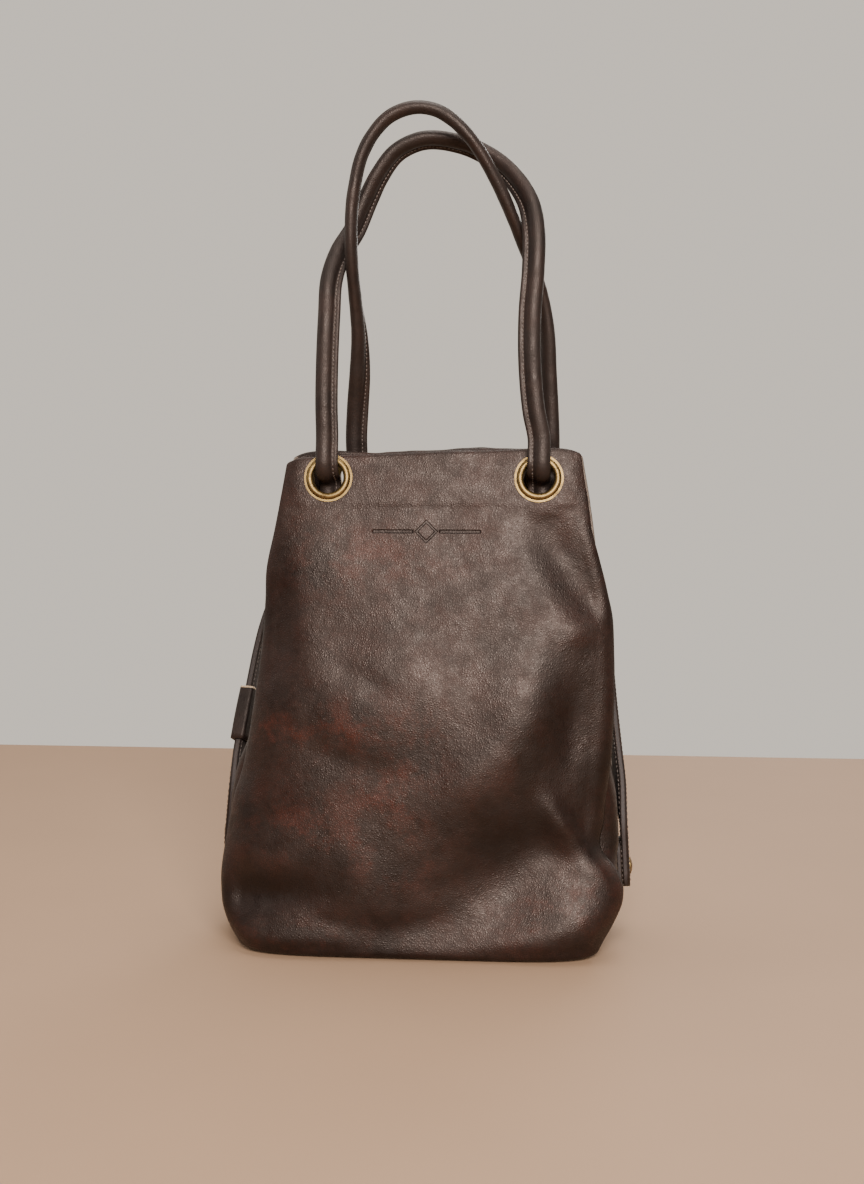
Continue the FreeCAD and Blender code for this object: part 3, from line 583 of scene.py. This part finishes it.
def wall_rows(top, count):
    """Inset and height of the rows of a wall: in under the base, round its edge, up and over the rim."""
    inset, level = [], []
    for share in np.linspace(1, 0, 4, endpoint=False):
        inset.append(BOTTOM_ROUND + BOTTOM_UNDER * share)
        level.append(top * 0 + BASE_GAP)
    for angle in np.linspace(0, math.pi / 2, 7, endpoint=False):
        inset.append(BOTTOM_ROUND * (1 - math.sin(angle)))
        level.append(top * 0 + BASE_GAP + (BOTTOM_ROUND - BASE_GAP) * (1 - math.cos(angle)))
    for share in np.linspace(0, 1, count):
        inset.append(0.0)
        level.append(BOTTOM_ROUND + (top - RIM_ROUND - BOTTOM_ROUND) * share)
    for angle in np.linspace(0, math.pi, 8)[1:]:
        inset.append(RIM_ROUND * (1 - math.cos(angle)))
        level.append(top - RIM_ROUND + RIM_ROUND * math.sin(angle))
    for drop in (1.5, 4.0):
        inset.append(2 * RIM_ROUND)
        level.append(top - RIM_ROUND - drop)
    return np.array(inset)[:, None] + top * 0, np.array(level)


def panel_form(side, share, inset, level):
    """Smooth form of a panel; share runs from -1 at its left edge to 1 at its right edge."""
    left = through(FRONT_LEFT_EDGE if side == FRONT else BACK_LEFT_EDGE, level)
    right = through(FRONT_RIGHT_EDGE if side == FRONT else BACK_RIGHT_EDGE, level)
    half = (right - left) / 2 - inset
    power = through(SQUARENESS, level)
    bow = (1 - np.abs(EDGE_SHARE * share) ** power) ** (1 / power)
    depth = (through(DEPTH, level) - inset) * bow
    return np.stack([(left + right) / 2 + half * share, side * depth, level], axis=-1)


def outward(points, sign):
    """Normals of a grid of points; sign turns them to the outside."""
    return sign * unit(np.cross(np.gradient(points, axis=1), np.gradient(points, axis=0)))


def flat_share(side, x, z):
    """How far each spot is held to the flat CAD wall, round the eyelets and under the yoke."""
    held = np.zeros(np.shape(x))
    for middle in FRONT_EYELETS if side == FRONT else REAR_EYELETS:
        held = np.maximum(held, 1 - step(np.hypot(x - middle, z - EYELET_LEVEL), 15.0, 27.0))
    if side == BACK:
        reach = np.maximum(np.abs(x - YOKE_MIDDLE) / YOKE_HALF[0], np.abs(z - YOKE_LEVEL) / YOKE_HALF[1])
        held = np.maximum(held, 1 - step(reach, 1.05, 1.7))
    return held


def panel_points(side, share, inset, level):
    """A panel with its folds, held flat where hardware sits."""
    points = panel_form(side, share, inset, level)
    relief = front_relief if side == FRONT else back_relief
    quiet = step(level, 1.0, 12.0) * (1 - 0.75 * step(np.abs(share), 0.9, 1.0))
    amount = relief(points[..., 0], points[..., 2]) * quiet
    points = points + outward(points, -side) * amount[..., None]
    held = flat_share(side, points[..., 0], points[..., 2])
    plane = side * (section(SECTION_DEEP, points[..., 2]) - inset)
    points[..., 1] = points[..., 1] * (1 - held) + plane * held
    return points


def gusset_points(side, share, inset, level):
    """A side gusset: full near the base, folded inwards above; share runs from front seam to back seam."""
    ends = []
    for panel in (FRONT, BACK):
        seam = panel_form(panel, np.full(np.shape(level), side), inset, level)
        seam[..., 0] -= side * SEAM_LIP
        seam[..., 1] -= panel * 1.2
        ends.append(seam)
    points = ends[0] * (1 - share[..., None]) + ends[1] * share[..., None]
    points[..., 2] = level
    rivet = LEFT_RIVET_LEVEL if side == LEFT else RIGHT_RIVET_LEVEL
    middle = np.abs(2 * share - 1)
    padded = 1.8 * step(level - rivet, 12, 24) * (1 - step(level - rivet, 45, 70))
    wall = side_wall(side, level) + side * (padded - 0.4 - inset)
    belly = (1 - step(level - rivet, 40, 105)) * (1 - middle ** 6)
    full = np.maximum(side * (wall - points[..., 0]), 0) * belly
    depth = 15.0 * step(level - rivet, 50, 140) - 5.0 * step(level, 230, 290)
    pleat = depth * (1 - middle) ** 1.25
    sag = 0.8 * ripple(share * 60, level, 48.0, 1.2 + side) * np.sin(math.pi * share) * step(level, 90, 130)
    points[..., 0] += side * (full - pleat + sag)
    return points


def spread_shares(columns):
    """Shares from -1 to 1, closer together towards both edges."""
    even = np.linspace(-1, 1, columns)
    return 0.6 * even + 0.4 * np.sin(even * math.pi / 2)


def near_eyelet(points, middles, radius):
    """Marks the quads of a grid that lie within a radius of an eyelet."""
    middle = (points[:-1, :-1] + points[1:, 1:]) / 2
    inside = np.zeros(middle.shape[:2], bool)
    for across in middles:
        inside |= np.hypot(middle[..., 0] - across, middle[..., 2] - EYELET_LEVEL) < radius
    return inside


def build_panel(name, side, material):
    """A front or back panel with its holes for the eyelets."""
    share = spread_shares(PANEL_COLUMNS)[None, :]
    inset, level = wall_rows(rim_height(side, share[0]), PANEL_ROWS)
    points = panel_points(side, share + inset * 0, inset, level)
    middles = FRONT_EYELETS if side == FRONT else REAR_EYELETS
    open_quads = near_eyelet(points, middles, PANEL_HOLE)
    faces = grid_faces(*points.shape[:2], keep=~open_quads)
    if side == BACK:
        faces = [face[::-1] for face in faces]
    made = make_mesh(name, points, faces, [material, raw_edge])
    if side == FRONT:
        # the painted numbers: rubbed red above 0, painted shade over the hollows and grooves below 0
        paint(made, "red_and_painted_shade", front_red_and_painted_shade(points[..., 0], points[..., 2]))
    thicken(made, LEATHER, 1)
    settle(made, "bag", name)


def build_gusset(name, side):
    """A side gusset."""
    share = np.linspace(0, 1, GUSSET_COLUMNS)[None, :]
    inset, level = wall_rows(gusset_rim(side, share[0]), GUSSET_ROWS)
    points = gusset_points(side, share + inset * 0, inset, level)
    faces = grid_faces(*points.shape[:2])
    if side == LEFT:
        faces = [face[::-1] for face in faces]
    made = make_mesh(name, points, faces, [body_leather, raw_edge])
    thicken(made, LEATHER, 1)
    settle(made, "bag", name)


def ring(low, drop, rows, inward):
    """A closed band inside the walls, from a low level to drop below the rim, moved inwards."""
    share = np.linspace(-0.985, 0.985, 90)
    side_share = np.linspace(0.03, 0.97, 22)
    up = np.linspace(0, 1, rows)[:, None]

    def levels(top):
        """Heights of the band under a given rim."""
        return low + (top - drop - low) * up

    parts = []
    for maker, side, shares, tops, way in (
        (panel_points, FRONT, share, rim_height(FRONT, share), 1),
        (gusset_points, RIGHT, side_share, gusset_rim(RIGHT, side_share), 1),
        (panel_points, BACK, share, rim_height(BACK, share), -1),
        (gusset_points, LEFT, side_share, gusset_rim(LEFT, side_share), -1),
    ):
        level = levels(tops[None, :])
        parts.append(maker(side, shares[None, :] + level * 0, level * 0, level)[:, ::way])
    points = np.concatenate(parts, axis=1)
    wrapped = np.concatenate([points[:, -2:], points, points[:, :2]], axis=1)
    normal = outward(wrapped, 1.0)[:, 2:-2]
    return points - normal * inward


def build_facing():
    """Leather band inside the mouth."""
    points = ring(266.0, 1.6, 24, 3.6)
    wrapped = np.concatenate([points, points[:, :1]], axis=1)
    open_quads = np.zeros((points.shape[0] - 1, points.shape[1]), bool)
    for side, middles in ((FRONT, FRONT_EYELETS), (BACK, REAR_EYELETS)):
        holes = near_eyelet(wrapped, middles, FACING_HOLE)
        open_quads |= holes & (side * (wrapped[:-1, :-1, 1] + wrapped[1:, 1:, 1]) > 0)
    faces = [face[::-1] for face in grid_faces(*points.shape[:2], closed=True, keep=~open_quads)]
    made = make_mesh("mouth_facing", points, faces, [inner_leather])
    settle(made, "bag", "mouth_facing")


def build_lining():
    """Cloth sack standing on the base board."""
    points = ring(5.0, 31.0, 40, 5.2)
    points[0, :, :2] *= 0.97
    rows, columns = points.shape[:2]
    faces = [face[::-1] for face in grid_faces(rows, columns, closed=True)]
    faces.append(tuple(range(columns)))
    made = make_mesh("lining", points, faces, [lining_cloth])
    settle(made, "bag", "lining")


# ---- flat leather pieces and stitches

def corner_points(centre, radius, turn, count):
    """Quarter circle of points; turn counts the quarters already passed."""
    angles = np.linspace(0, math.pi / 2, count) + turn * math.pi / 2
    return [(centre[0] + radius * math.cos(one), centre[1] + radius * math.sin(one)) for one in angles]


def rounded_outline(half_wide, low, high, corner, count=9):
    """Points (across, up) of a rounded rectangle."""
    points = []
    for turn, (sign_x, edge) in enumerate(((1, high), (-1, high), (-1, low), (1, low))):
        centre = (sign_x * (half_wide - corner), edge - math.copysign(corner, edge - (low + high) / 2))
        points += corner_points(centre, corner, turn, count)
    return np.array(points)


def stitches(spots, along, radius=0.34, length=1.7):
    """Small rounded stitches as one set of points and faces."""
    spots, along = np.asarray(spots, float), unit(along)
    helper = np.where(np.abs(along[:, 2:3]) < 0.8, [[0.0, 0.0, 1.0]], [[1.0, 0.0, 0.0]])
    side = unit(np.cross(along, helper))
    other = np.cross(along, side)
    sides = 6
    rings = []
    for place, width in ((-0.5, 0.35), (-0.3, 1.0), (0.3, 1.0), (0.5, 0.35)):
        for turn in range(sides):
            angle = 2 * math.pi * turn / sides
            across = side * math.cos(angle) + other * math.sin(angle)
            rings.append(spots + along * (place * length) + across * (radius * width))
    points = np.stack(rings, axis=1).reshape(-1, 3)
    block = grid_faces(4, sides, closed=True)
    block.append(tuple(range(sides))[::-1])
    block.append(tuple(range(3 * sides, 4 * sides)))
    faces = []
    for first in range(0, len(points), 4 * sides):
        faces += [tuple(first + index for index in face) for face in block]
    return points, faces


def join(parts):
    """One set of points, faces and material slots from several (points, faces, slot) parts."""
    points, faces, slots = [], [], []
    start = 0
    for part_points, part_faces, slot in parts:
        part_points = np.asarray(part_points, float).reshape(-1, 3)
        points.append(part_points)
        faces += [tuple(start + index for index in face) for face in part_faces]
        slots += [slot] * len(part_faces) if isinstance(slot, int) else list(slot)
        start += len(part_points)
    return np.concatenate(points), faces, slots


def shrunk(outline, inset):
    """An outline drawn in towards its middle."""
    middle = outline.mean(axis=0)
    return middle + (outline - middle) * (1 - inset / np.abs(outline - middle).max(axis=0))


def plate_parts(matrix, outline, near, thick, stitch_inset=None):
    """A flat leather piece lying on a wall: cut edges, a softly rounded face and a row of stitches."""
    rings = []
    for inset, rise in ((0.0, 0.0), (0.0, 0.7), (0.25, 0.93), (0.8, 1.0)):
        rings += [(x, -near - thick * rise, z) for x, z in shrunk(outline, inset)]
    count = len(outline)
    faces = grid_faces(4, count, closed=True)
    faces.append(tuple(range(3 * count, 4 * count)))
    slots = [1] * count + [0] * (2 * count + 1)
    parts = [(placed(matrix, rings), faces, slots)]
    if stitch_inset is not None:
        inner = shrunk(outline, stitch_inset)
        closed = np.concatenate([inner, inner[:1]])
        path = smooth_path([(x, -near - thick - 0.05, z) for x, z in closed], 3.0)
        world = placed(matrix, path)
        sewn, sewn_faces = stitches((world[:-1] + world[1:]) / 2, np.diff(world, axis=0))
        parts.append((sewn, sewn_faces, 2))
    return parts


def build_plate(name, matrix, outline, stitch_inset):
    """A single stitched leather piece on the outside of a wall."""
    points, faces, slots = join(plate_parts(matrix, outline, 0.0, PLATE_THICK, stitch_inset))
    made = make_mesh(name, points, faces, [strap_leather, dark_edge, dark_thread], slots)
    settle(made, "bag", name)


def build_base():
    """Leather base panel with well rounded corners."""
    outline = []
    for angle in np.linspace(0, 2 * math.pi, 72, endpoint=False):
        across, along = math.cos(angle), math.sin(angle)
        spot = [math.copysign(abs(part) ** 0.5, part) for part in (across, along)]
        outline.append((BASE_HALF[0] * spot[0], BASE_HALF[1] * spot[1]))
    lying = Matrix.Translation((0, 0, BASE_LEVEL)) @ Matrix.Rotation(math.radians(-90), 4, "X")
    points, faces, slots = join(plate_parts(lying, np.array(outline), -BASE_THICK, BASE_THICK))
    made = make_mesh("base_panel", points, faces, [body_leather, raw_edge], slots)
    settle(made, "bag", "base_panel")


# ---- straps swept along a path

def sweep(spots, across, normal, profile, scale=None):
    """Points of a profile (across, out) carried along spots."""
    wide = profile[None, :, 0:1] if scale is None else profile[None, :, 0:1] * scale[:, None, None]
    return spots[:, None] + across[:, None] * wide + normal[:, None] * profile[None, :, 1:2]


def tube_faces(rows, columns):
    """Quads round a swept strap, with both ends closed."""
    faces = grid_faces(rows, columns, closed=True)
    faces.append(tuple(range(columns))[::-1])
    faces.append(tuple(range((rows - 1) * columns, rows * columns)))
    return faces


# handle section: a padded roll with a thin stitched edge on the inner side of the loop
ROLL_MIDDLE, ROLL_HALF, ROLL_THICK = -1.9, 4.95, 3.9
FIN = ((2.8, 1.45), (3.35, 1.15), (4.2, 1.2), (5.2, 1.4), (6.1, 1.3), (6.65, 0.8))
HANDLE_HALF = 6.85
STITCH_ACROSS, STITCH_OUT, STITCH_GAP = 3.85, 1.3, 2.5
STATION_GAP = 1.9
TAIL_TOP = 314.0

# stops on the hidden ends: half width, bottom, top and corner; and their depth inside
STOP_SHAPE = (12.0, -34.0, -10.0, 4.0)
STOP_DEPTH = 14.25


def handle_profile():
    """Points (across, out) round the section of a handle."""
    upper = []
    for angle in np.linspace(math.pi, math.radians(34), 13):
        upper.append((ROLL_MIDDLE + ROLL_HALF * math.cos(angle), ROLL_THICK * math.sin(angle)))
    upper += [*FIN, (HANDLE_HALF, 0.0)]
    lower = [(across, -out) for across, out in upper[1:-1][::-1]]
    return np.array(upper + lower)


# run of a handle end through its eyelet, from its hidden end upwards: (inwards, up) in the wall's own frame
TAIL_RUN = [
    (10, -32), (10, -16), (10, -6.5), (8.4, -1.6), (4.2, 0.8), (0.5, 1.0), (-4.6, 2.2), (-7.8, 6.2),
    (-8.5, 12), (-8.5, 21.8),
]

# run of the loops: position and twist in degrees; traced from the photo like the front edges
FRONT_LOOP = [
    (-55.1, -23.6, 330, 0), (-55.0, -21, 355, 0), (-54.0, -18, 385, 0), (-53.2, -13, 406, 4),
    (-48.9, -4, 423, 10), (-41.3, 5, 438, 20), (-33.9, 9, 456, 34), (-26.2, 9, 471, 44),
    (-15.4, 9, 484.5, 50), (-1.8, 9, 490.8, 52), (22.4, 9, 488.9, 50), (45.2, 6, 477.4, 40),
    (57.3, 1, 464.8, 26), (65.3, -5, 450.5, 12), (68.4, -10, 435, 4), (68.4, -13, 412, 0),
    (66.6, -17, 385, 0), (67.1, -21.5, 350, 0), (69.6, -23.6, 326, 0),
]
REAR_LOOP = [
    (-42.0, 20, 330, 10), (-39.7, 13, 350, 30), (-38.4, 5, 374, 62), (-39.8, -4, 398, 82),
    (-40.7, -11, 416, 86), (-40.6, -15, 431, 86), (-39.9, -15, 449, 86), (-38, -14, 463, 86),
    (-34.4, -14, 477.7, 86), (-27.5, -14, 490.9, 86), (-17, -14, 501.5, 86), (-0.5, -14, 506.4, 86),
    (11, -14, 504.2, 86), (20.4, -14, 498.4, 86), (29.4, -13, 489.5, 86), (44.3, -8, 466.6, 84),
    (56, 0, 441.3, 80), (61.2, 6, 428.5, 74), (70.5, 13, 402, 56), (74.6, 17, 379.6, 40),
    (75.9, 21, 350, 22), (77.0, 23.4, 326, 10),
]


def handle_frames(path, left_tail, right_tail):
    """Directions across and out of a handle's broad face at every station."""
    along = unit(np.gradient(path[:, :3], axis=0))
    turn = np.arctan2(along[:, 0], along[:, 2])
    turn = np.where(turn < -math.pi / 2, turn + 2 * math.pi, turn)
    turn[:left_tail] = 0
    turn[len(turn) - right_tail:] = math.pi
    inner = np.stack([np.cos(turn), 0 * turn, -np.sin(turn)], axis=-1)
    across = unit(inner - along * np.sum(inner * along, axis=1, keepdims=True))
    normal = np.cross(across, along)
    twist = np.radians(path[:, 3:4])
    turned_across = across * np.cos(twist) - normal * np.sin(twist)
    turned_normal = normal * np.cos(twist) + across * np.sin(twist)
    return along, turned_across, turned_normal


def eyelet_frame(turn, middle):
    """Matrix of an eyelet on the front wall, turn 0, or the back wall, turn 180."""
    shift = float(section(SECTION_SHIFT, EYELET_LEVEL))
    across = (middle - shift) if turn == 0 else (shift - middle)
    return wall_frame(turn, across, EYELET_LEVEL)


def read_along(every, travel, fields):
    """Rows of vectors read at even distances along a path."""
    return [
        np.stack([np.interp(every, travel, field[:, axis]) for axis in range(3)], axis=-1)
        for field in fields
    ]


def build_handle(name, turn, eyelets, loop, nodes):
    """A whole handle: hidden end, up through one eyelet, round the loop and back through the other."""
    tails = []
    for middle in eyelets:
        run = placed(eyelet_frame(turn, middle), [(0, inward, up) for inward, up in TAIL_RUN])
        tails.append(np.concatenate([run, np.zeros((len(run), 1))], axis=1))
    path = smooth_path(np.concatenate([tails[0], np.array(loop, float), tails[1][::-1]]), STATION_GAP)
    tail = int(np.argmax(path[:, 2] > TAIL_TOP))
    other = int(np.argmax(path[::-1, 2] > TAIL_TOP))
    along, across, normal = handle_frames(path, tail, other)
    travel = np.arange(len(path)) * STATION_GAP
    swell = 1 + 0.035 * ripple(travel, travel * 0, 46.0, 0.3) + 0.02 * ripple(travel, travel * 0, 13.0, 1.1)
    profile = handle_profile()
    spots = path[:, :3]
    points = sweep(spots, across, normal * swell[:, None], profile)
    parts = [(points, tube_faces(len(path), len(profile)), 0)]
    every = np.arange(STITCH_GAP, travel[-1] - STITCH_GAP, STITCH_GAP)
    for face in (1, -1):
        seam = spots + across * STITCH_ACROSS + normal * face * STITCH_OUT
        sewn, faces = stitches(*read_along(every, travel, (seam, along)), 0.40, 1.8)
        parts.append((sewn, faces, 1))
    points, faces, slots = join(parts)
    made = make_mesh(name, points, faces, [strap_leather, dark_thread], slots)
    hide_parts(name, *nodes)
    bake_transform(made)


def build_stops():
    """Leather blocks riveted across the hidden handle ends."""
    outline = rounded_outline(*STOP_SHAPE)
    inwards = Matrix.Translation((0, STOP_DEPTH, 0)) @ Matrix.Rotation(math.pi, 4, "Z")
    parts = []
    for turn, middles in ((0, FRONT_EYELETS), (180, REAR_EYELETS)):
        for middle in middles:
            parts += plate_parts(eyelet_frame(turn, middle) @ inwards, outline, 0.0, PLATE_THICK)
    points, faces, slots = join(parts)
    made = make_mesh("handle_end_stops", points, faces, [strap_leather, dark_edge], slots)
    settle(made, "bag", "handle_end_stops")


# ---- back straps

STRAP_HALF, STRAP_THICK = 10.5, 2.25
STRAP_STRAIGHT, BOW_START, BOW_END, BOW_LIFT = 77.0, 45.0, 58.0, 26.0
END_ABOVE, END_BELOW, ROOT_OUTER, ROOT_INNER = 26.4, 13.0, 42.4, 8.0
RUN = {LEFT: (8.0, 31.0, 65.0), RIGHT: (-7.5, 31.0, 65.0)}
STRAP_TURN = math.radians(12.0)
KEEPER_PLACE, KEEPER_LONG, KEEPER_HALF, KEEPER_RAW = 48.0, 35.0, 13.0, 1.1


def strap_profile():
    """Points (across, out) round a folded strap, rounder on its outer face."""
    points = []
    for turn, (sign_x, sign_y) in enumerate(((1, 1), (-1, 1), (-1, -1), (1, -1))):
        corner = 1.7 if sign_y > 0 else 1.0
        centre = (sign_x * (STRAP_HALF - corner), sign_y * (STRAP_THICK - corner))
        points += corner_points(centre, corner, turn, 5)
    return np.array(points)


def strap_ends(side):
    """Rivet frame, yoke frame, lower and upper ends of the free part, and the direction of its run."""
    low_frame = wall_frame(-90, -RIVET_BACK, LEFT_RIVET_LEVEL)
    if side == RIGHT:
        low_frame = wall_frame(90, RIVET_BACK, RIGHT_RIVET_LEVEL)
    yoke = wall_frame(180, 0, YOKE_LEVEL)
    lower = np.array(low_frame @ Vector((0, -STRAP_OFF, END_ABOVE)))
    upper = np.array(yoke @ Vector((-side * ROOT_OUTER, -STRAP_OFF, 0)))
    return low_frame, yoke, lower, upper, unit(RUN[side])


def bow_points(knee, run, upper, side):
    """The free bow from the straight run round behind the bag to the yoke."""
    poles = [knee, knee + run * BOW_START, upper + np.array([side * BOW_END, BOW_LIFT, 0]), upper]
    points = []
    for t in np.linspace(0, 1, 9)[1:-1]:
        weights = ((1 - t) ** 3, 3 * t * (1 - t) ** 2, 3 * t * t * (1 - t), t ** 3)
        points.append(sum(weight * np.array(pole) for weight, pole in zip(weights, poles)))
    return points


def strap_facing(side):
    """Direction a strap's outer face looks in on its straight run."""
    return np.array([side * math.cos(STRAP_TURN), math.sin(STRAP_TURN), 0.0])


def strap_rows(side):
    """Stations of a strap from its tip to the yoke: position and direction of its outer face."""
    low_frame, yoke, lower, upper, run = strap_ends(side)
    wall_out = -np.array(low_frame.to_3x3() @ Vector((0, 1, 0)))
    yoke_out = -np.array(yoke.to_3x3() @ Vector((0, 1, 0)))
    facing = strap_facing(side)
    rows = []
    for up in (-END_BELOW, -4.0, 6.0, 16.0):
        rows.append((*(low_frame @ Vector((0, -STRAP_OFF, up))), *wall_out))
    for share in (0.0, 0.3, 0.65, 1.0):
        rows.append((*(lower + run * STRAP_STRAIGHT * share), *(facing if share else wall_out)))
    bow = bow_points(lower + run * STRAP_STRAIGHT, run, upper, side)
    for index, spot in enumerate(bow, start=1):
        fade = float(step(index / (len(bow) + 1), 0, 1))
        rows.append((*spot, *(facing * (1 - fade) + yoke_out * fade)))
    for across in (ROOT_OUTER, 30.0, 19.0, ROOT_INNER):
        rows.append((*(yoke @ Vector((-side * across, -STRAP_OFF, 0))), *yoke_out))
    return rows


def bend_strap(made, side):
    """Reads the strap's ends and bakes the strap's placement into its mesh."""
    _, _, lower, upper, run = strap_ends(side)
    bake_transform(made)


def build_strap(name, side, nodes):
    """A back strap from its rounded riveted end round to the yoke."""
    path = smooth_path(strap_rows(side), 2.0)
    spots = path[:, :3]
    along = unit(np.gradient(spots, axis=0))
    normal = path[:, 3:6]
    normal = unit(normal - along * np.sum(normal * along, axis=1, keepdims=True))
    across = np.cross(normal, along)
    travel = np.concatenate([[0], np.cumsum(np.linalg.norm(np.diff(spots, axis=0), axis=1))])
    tip = np.clip(1 - travel / STRAP_HALF, 0, 1)
    scale = np.sqrt(np.clip(1 - tip ** 2, 0.03, 1))
    profile = strap_profile()
    count = len(profile)
    cut_columns = (4, 9, 14, count - 1)
    slots = [int(index % count in cut_columns) for index in range((len(path) - 1) * count)] + [1, 1]
    parts = [(sweep(spots, across, normal, profile, scale), tube_faces(len(path), count), slots)]
    every = np.arange(STRAP_HALF * 0.55, travel[-1] - 3.0, 3.0)
    width = (STRAP_HALF * np.interp(every, travel, scale) - 2.6)[:, None]
    for edge in (1, -1):
        for face in (1, -1):
            skin = spots + normal * face * (STRAP_THICK + 0.08)
            middle, aside, ahead = read_along(every, travel, (skin, across, along))
            parts.append((*stitches(middle + aside * edge * width, ahead, 0.36, 2.0), 2))
    points, faces, slots = join(parts)
    made = make_mesh(name, points, faces, [strap_leather, dark_edge, dark_thread], slots)
    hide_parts(name, *nodes)
    bend_strap(made, side)


def build_keeper():
    """Leather sleeve round the left strap, with a pale raw edge at its top."""
    _, _, lower, _, run = strap_ends(LEFT)
    normal = strap_facing(LEFT)
    normal = unit(normal - run * np.dot(normal, run))
    across = np.cross(normal, run)
    middle = lower + run * KEEPER_PLACE
    outer = rounded_outline(KEEPER_HALF, -4.75, 4.75, 2.2, 6)
    inner = rounded_outline(10.8, -2.55, 2.55, 0.4, 6)
    raw_from = 0.5 - KEEPER_RAW / KEEPER_LONG
    outer_places = np.append(np.linspace(-0.5, raw_from, 11), 0.5)
    stations = []
    for outline, places in ((outer, outer_places), (inner, np.linspace(0.5, -0.5, 12))):
        wide, out = outline[:, 0:1], outline[:, 1:2]
        for place in places:
            belly = 1 + 0.03 * math.cos(place * math.pi) if outline is outer else 1.0
            spot = middle + run * KEEPER_LONG * place
            skew = run * 0.5 * wide / KEEPER_HALF
            stations.append(spot + across * wide * belly + normal * out * belly + skew)
    points = np.array(stations)
    rows, columns = points.shape[:2]
    faces = grid_faces(rows, columns, closed=True)
    last = (rows - 1) * columns
    for column in range(columns):
        after = (column + 1) % columns
        faces.append((last + column, last + after, after, column))
    slots = [int(index // columns in (10, 11)) for index in range(last)] + [0] * columns
    made = make_mesh("strap_keeper", points, faces, [strap_leather, pale_edge], slots)
    settle(made, "keeper", "strap_keeper")


# ---- build

build_panel("front_panel", FRONT, front_leather)
build_panel("back_panel", BACK, body_leather)
build_gusset("left_gusset", LEFT)
build_gusset("right_gusset", RIGHT)
build_facing()
build_lining()
build_base()
front_tails = ["front_left_handle_tail", "front_right_handle_tail"]
rear_tails = ["rear_left_handle_tail", "rear_right_handle_tail"]
build_handle("front_handle", 0, FRONT_EYELETS, FRONT_LOOP, front_tails)
build_handle("rear_handle", 180, REAR_EYELETS, REAR_LOOP, rear_tails)
build_stops()

patch = rounded_outline(13.5, -17.0, 17.0, 6.0)
build_plate("left_side_patch", wall_frame(-90, -RIVET_BACK, LEFT_RIVET_LEVEL), patch, 2.2)
build_plate("right_side_patch", wall_frame(90, RIVET_BACK, RIGHT_RIVET_LEVEL), patch, 2.2)
yoke_outline = rounded_outline(YOKE_HALF[0], -YOKE_HALF[1], YOKE_HALF[1], 8.0)
build_plate("back_yoke", wall_frame(180, 0, YOKE_LEVEL), yoke_outline, 2.6)
build_strap("left_back_strap", LEFT, ["left_strap_end", "left_strap_root"])
build_strap("right_back_strap", RIGHT, ["right_strap_end", "right_strap_root"])
build_keeper()

for node_name, material in (
    ("eyelets", antique_brass), ("eyelet_washers", antique_brass), ("strap_rivets", antique_brass),
    ("handle_end_rivets", antique_brass), ("base_board", fibre_board),
):
    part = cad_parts[node_name]
    part.data.materials.clear()
    part.data.materials.append(material)


# ---- stage, light and camera

def area_light(name, place, target, size, power, colour):
    """A rectangular soft light aimed at a point."""
    lamp = bpy.data.lights.new(name, "AREA")
    lamp.shape = "RECTANGLE"
    lamp.size, lamp.size_y = size
    lamp.energy = power
    lamp.color = colour
    made = bpy.data.objects.new(name, lamp)
    made.location = place
    made.rotation_euler = (Vector(target) - Vector(place)).to_track_quat("-Z", "Y").to_euler()
    bpy.context.scene.collection.objects.link(made)


WALL_COLOUR = (0.80, 0.728, 0.640)
STUDIO_DIM = (0.030, 0.027, 0.025)
FLOOR_COLOUR = (0.30, 0.182, 0.106)
FLOOR_HALF, FLOOR_FRONT, FLOOR_BACK, FLOOR_LEVEL = 1500, 1500, 612, -0.4

floor_corners = []
for across, along in ((-1, -FLOOR_FRONT), (1, -FLOOR_FRONT), (1, FLOOR_BACK), (-1, FLOOR_BACK)):
    floor_corners.append((across * FLOOR_HALF, along, FLOOR_LEVEL))
floor_finish = mottled("pale_floor", FLOOR_COLOUR, 0.9, (140.0, 4.0), 0.8, 0.2)
make_mesh("floor", floor_corners, [(0, 1, 2, 3)], [floor_finish])

world = bpy.data.worlds.new("studio")
world.use_nodes = True
bpy.context.scene.world = world
sky = world.node_tree
look = node(sky, "SeparateXYZ", {0: node(sky, "TexCoord").outputs["Generated"]})
seen = node(sky, "LightPath").outputs["Is Camera Ray"]
behind = maths(sky, "MAXIMUM", seen, remap(sky, look.outputs[1], -0.15, 0.45))
sky.links.new(mix(sky, behind, STUDIO_DIM, WALL_COLOUR), sky.nodes["Background"].inputs[0])

area_light("key", (0.32, -1.72, 0.98), (0, 0, 0.18), (0.9, 0.8), 88.0, (1.0, 0.97, 0.94))
area_light("side", (-1.5, -0.2, 1.0), (0, 0, 0.2), (0.8, 1.2), 7.0, (1.0, 0.98, 0.96))
area_light("back", (0.5, 1.7, 1.0), (0, 0, 0.2), (0.9, 0.9), 16.0, (1.0, 0.98, 0.96))
area_light("top", (0.1, 0.1, 1.9), (0, 0, 0.1), (1.4, 1.2), 30.0, (1.0, 0.98, 0.95))

CAMERA_PLACE = (0.09719, -1.00933, 0.308)
CAMERA_DOWN, CAMERA_LEFT = 5.18, 5.134

lens = bpy.data.cameras.new("camera")
lens.lens, lens.sensor_width = 50.0, 36.0
lens.clip_start, lens.clip_end = 0.05, 20.0
camera = bpy.data.objects.new("camera", lens)
camera.location = CAMERA_PLACE
camera.rotation_euler = (math.radians(90 - CAMERA_DOWN), 0, math.radians(CAMERA_LEFT))
bpy.context.scene.collection.objects.link(camera)
bpy.context.scene.camera = camera
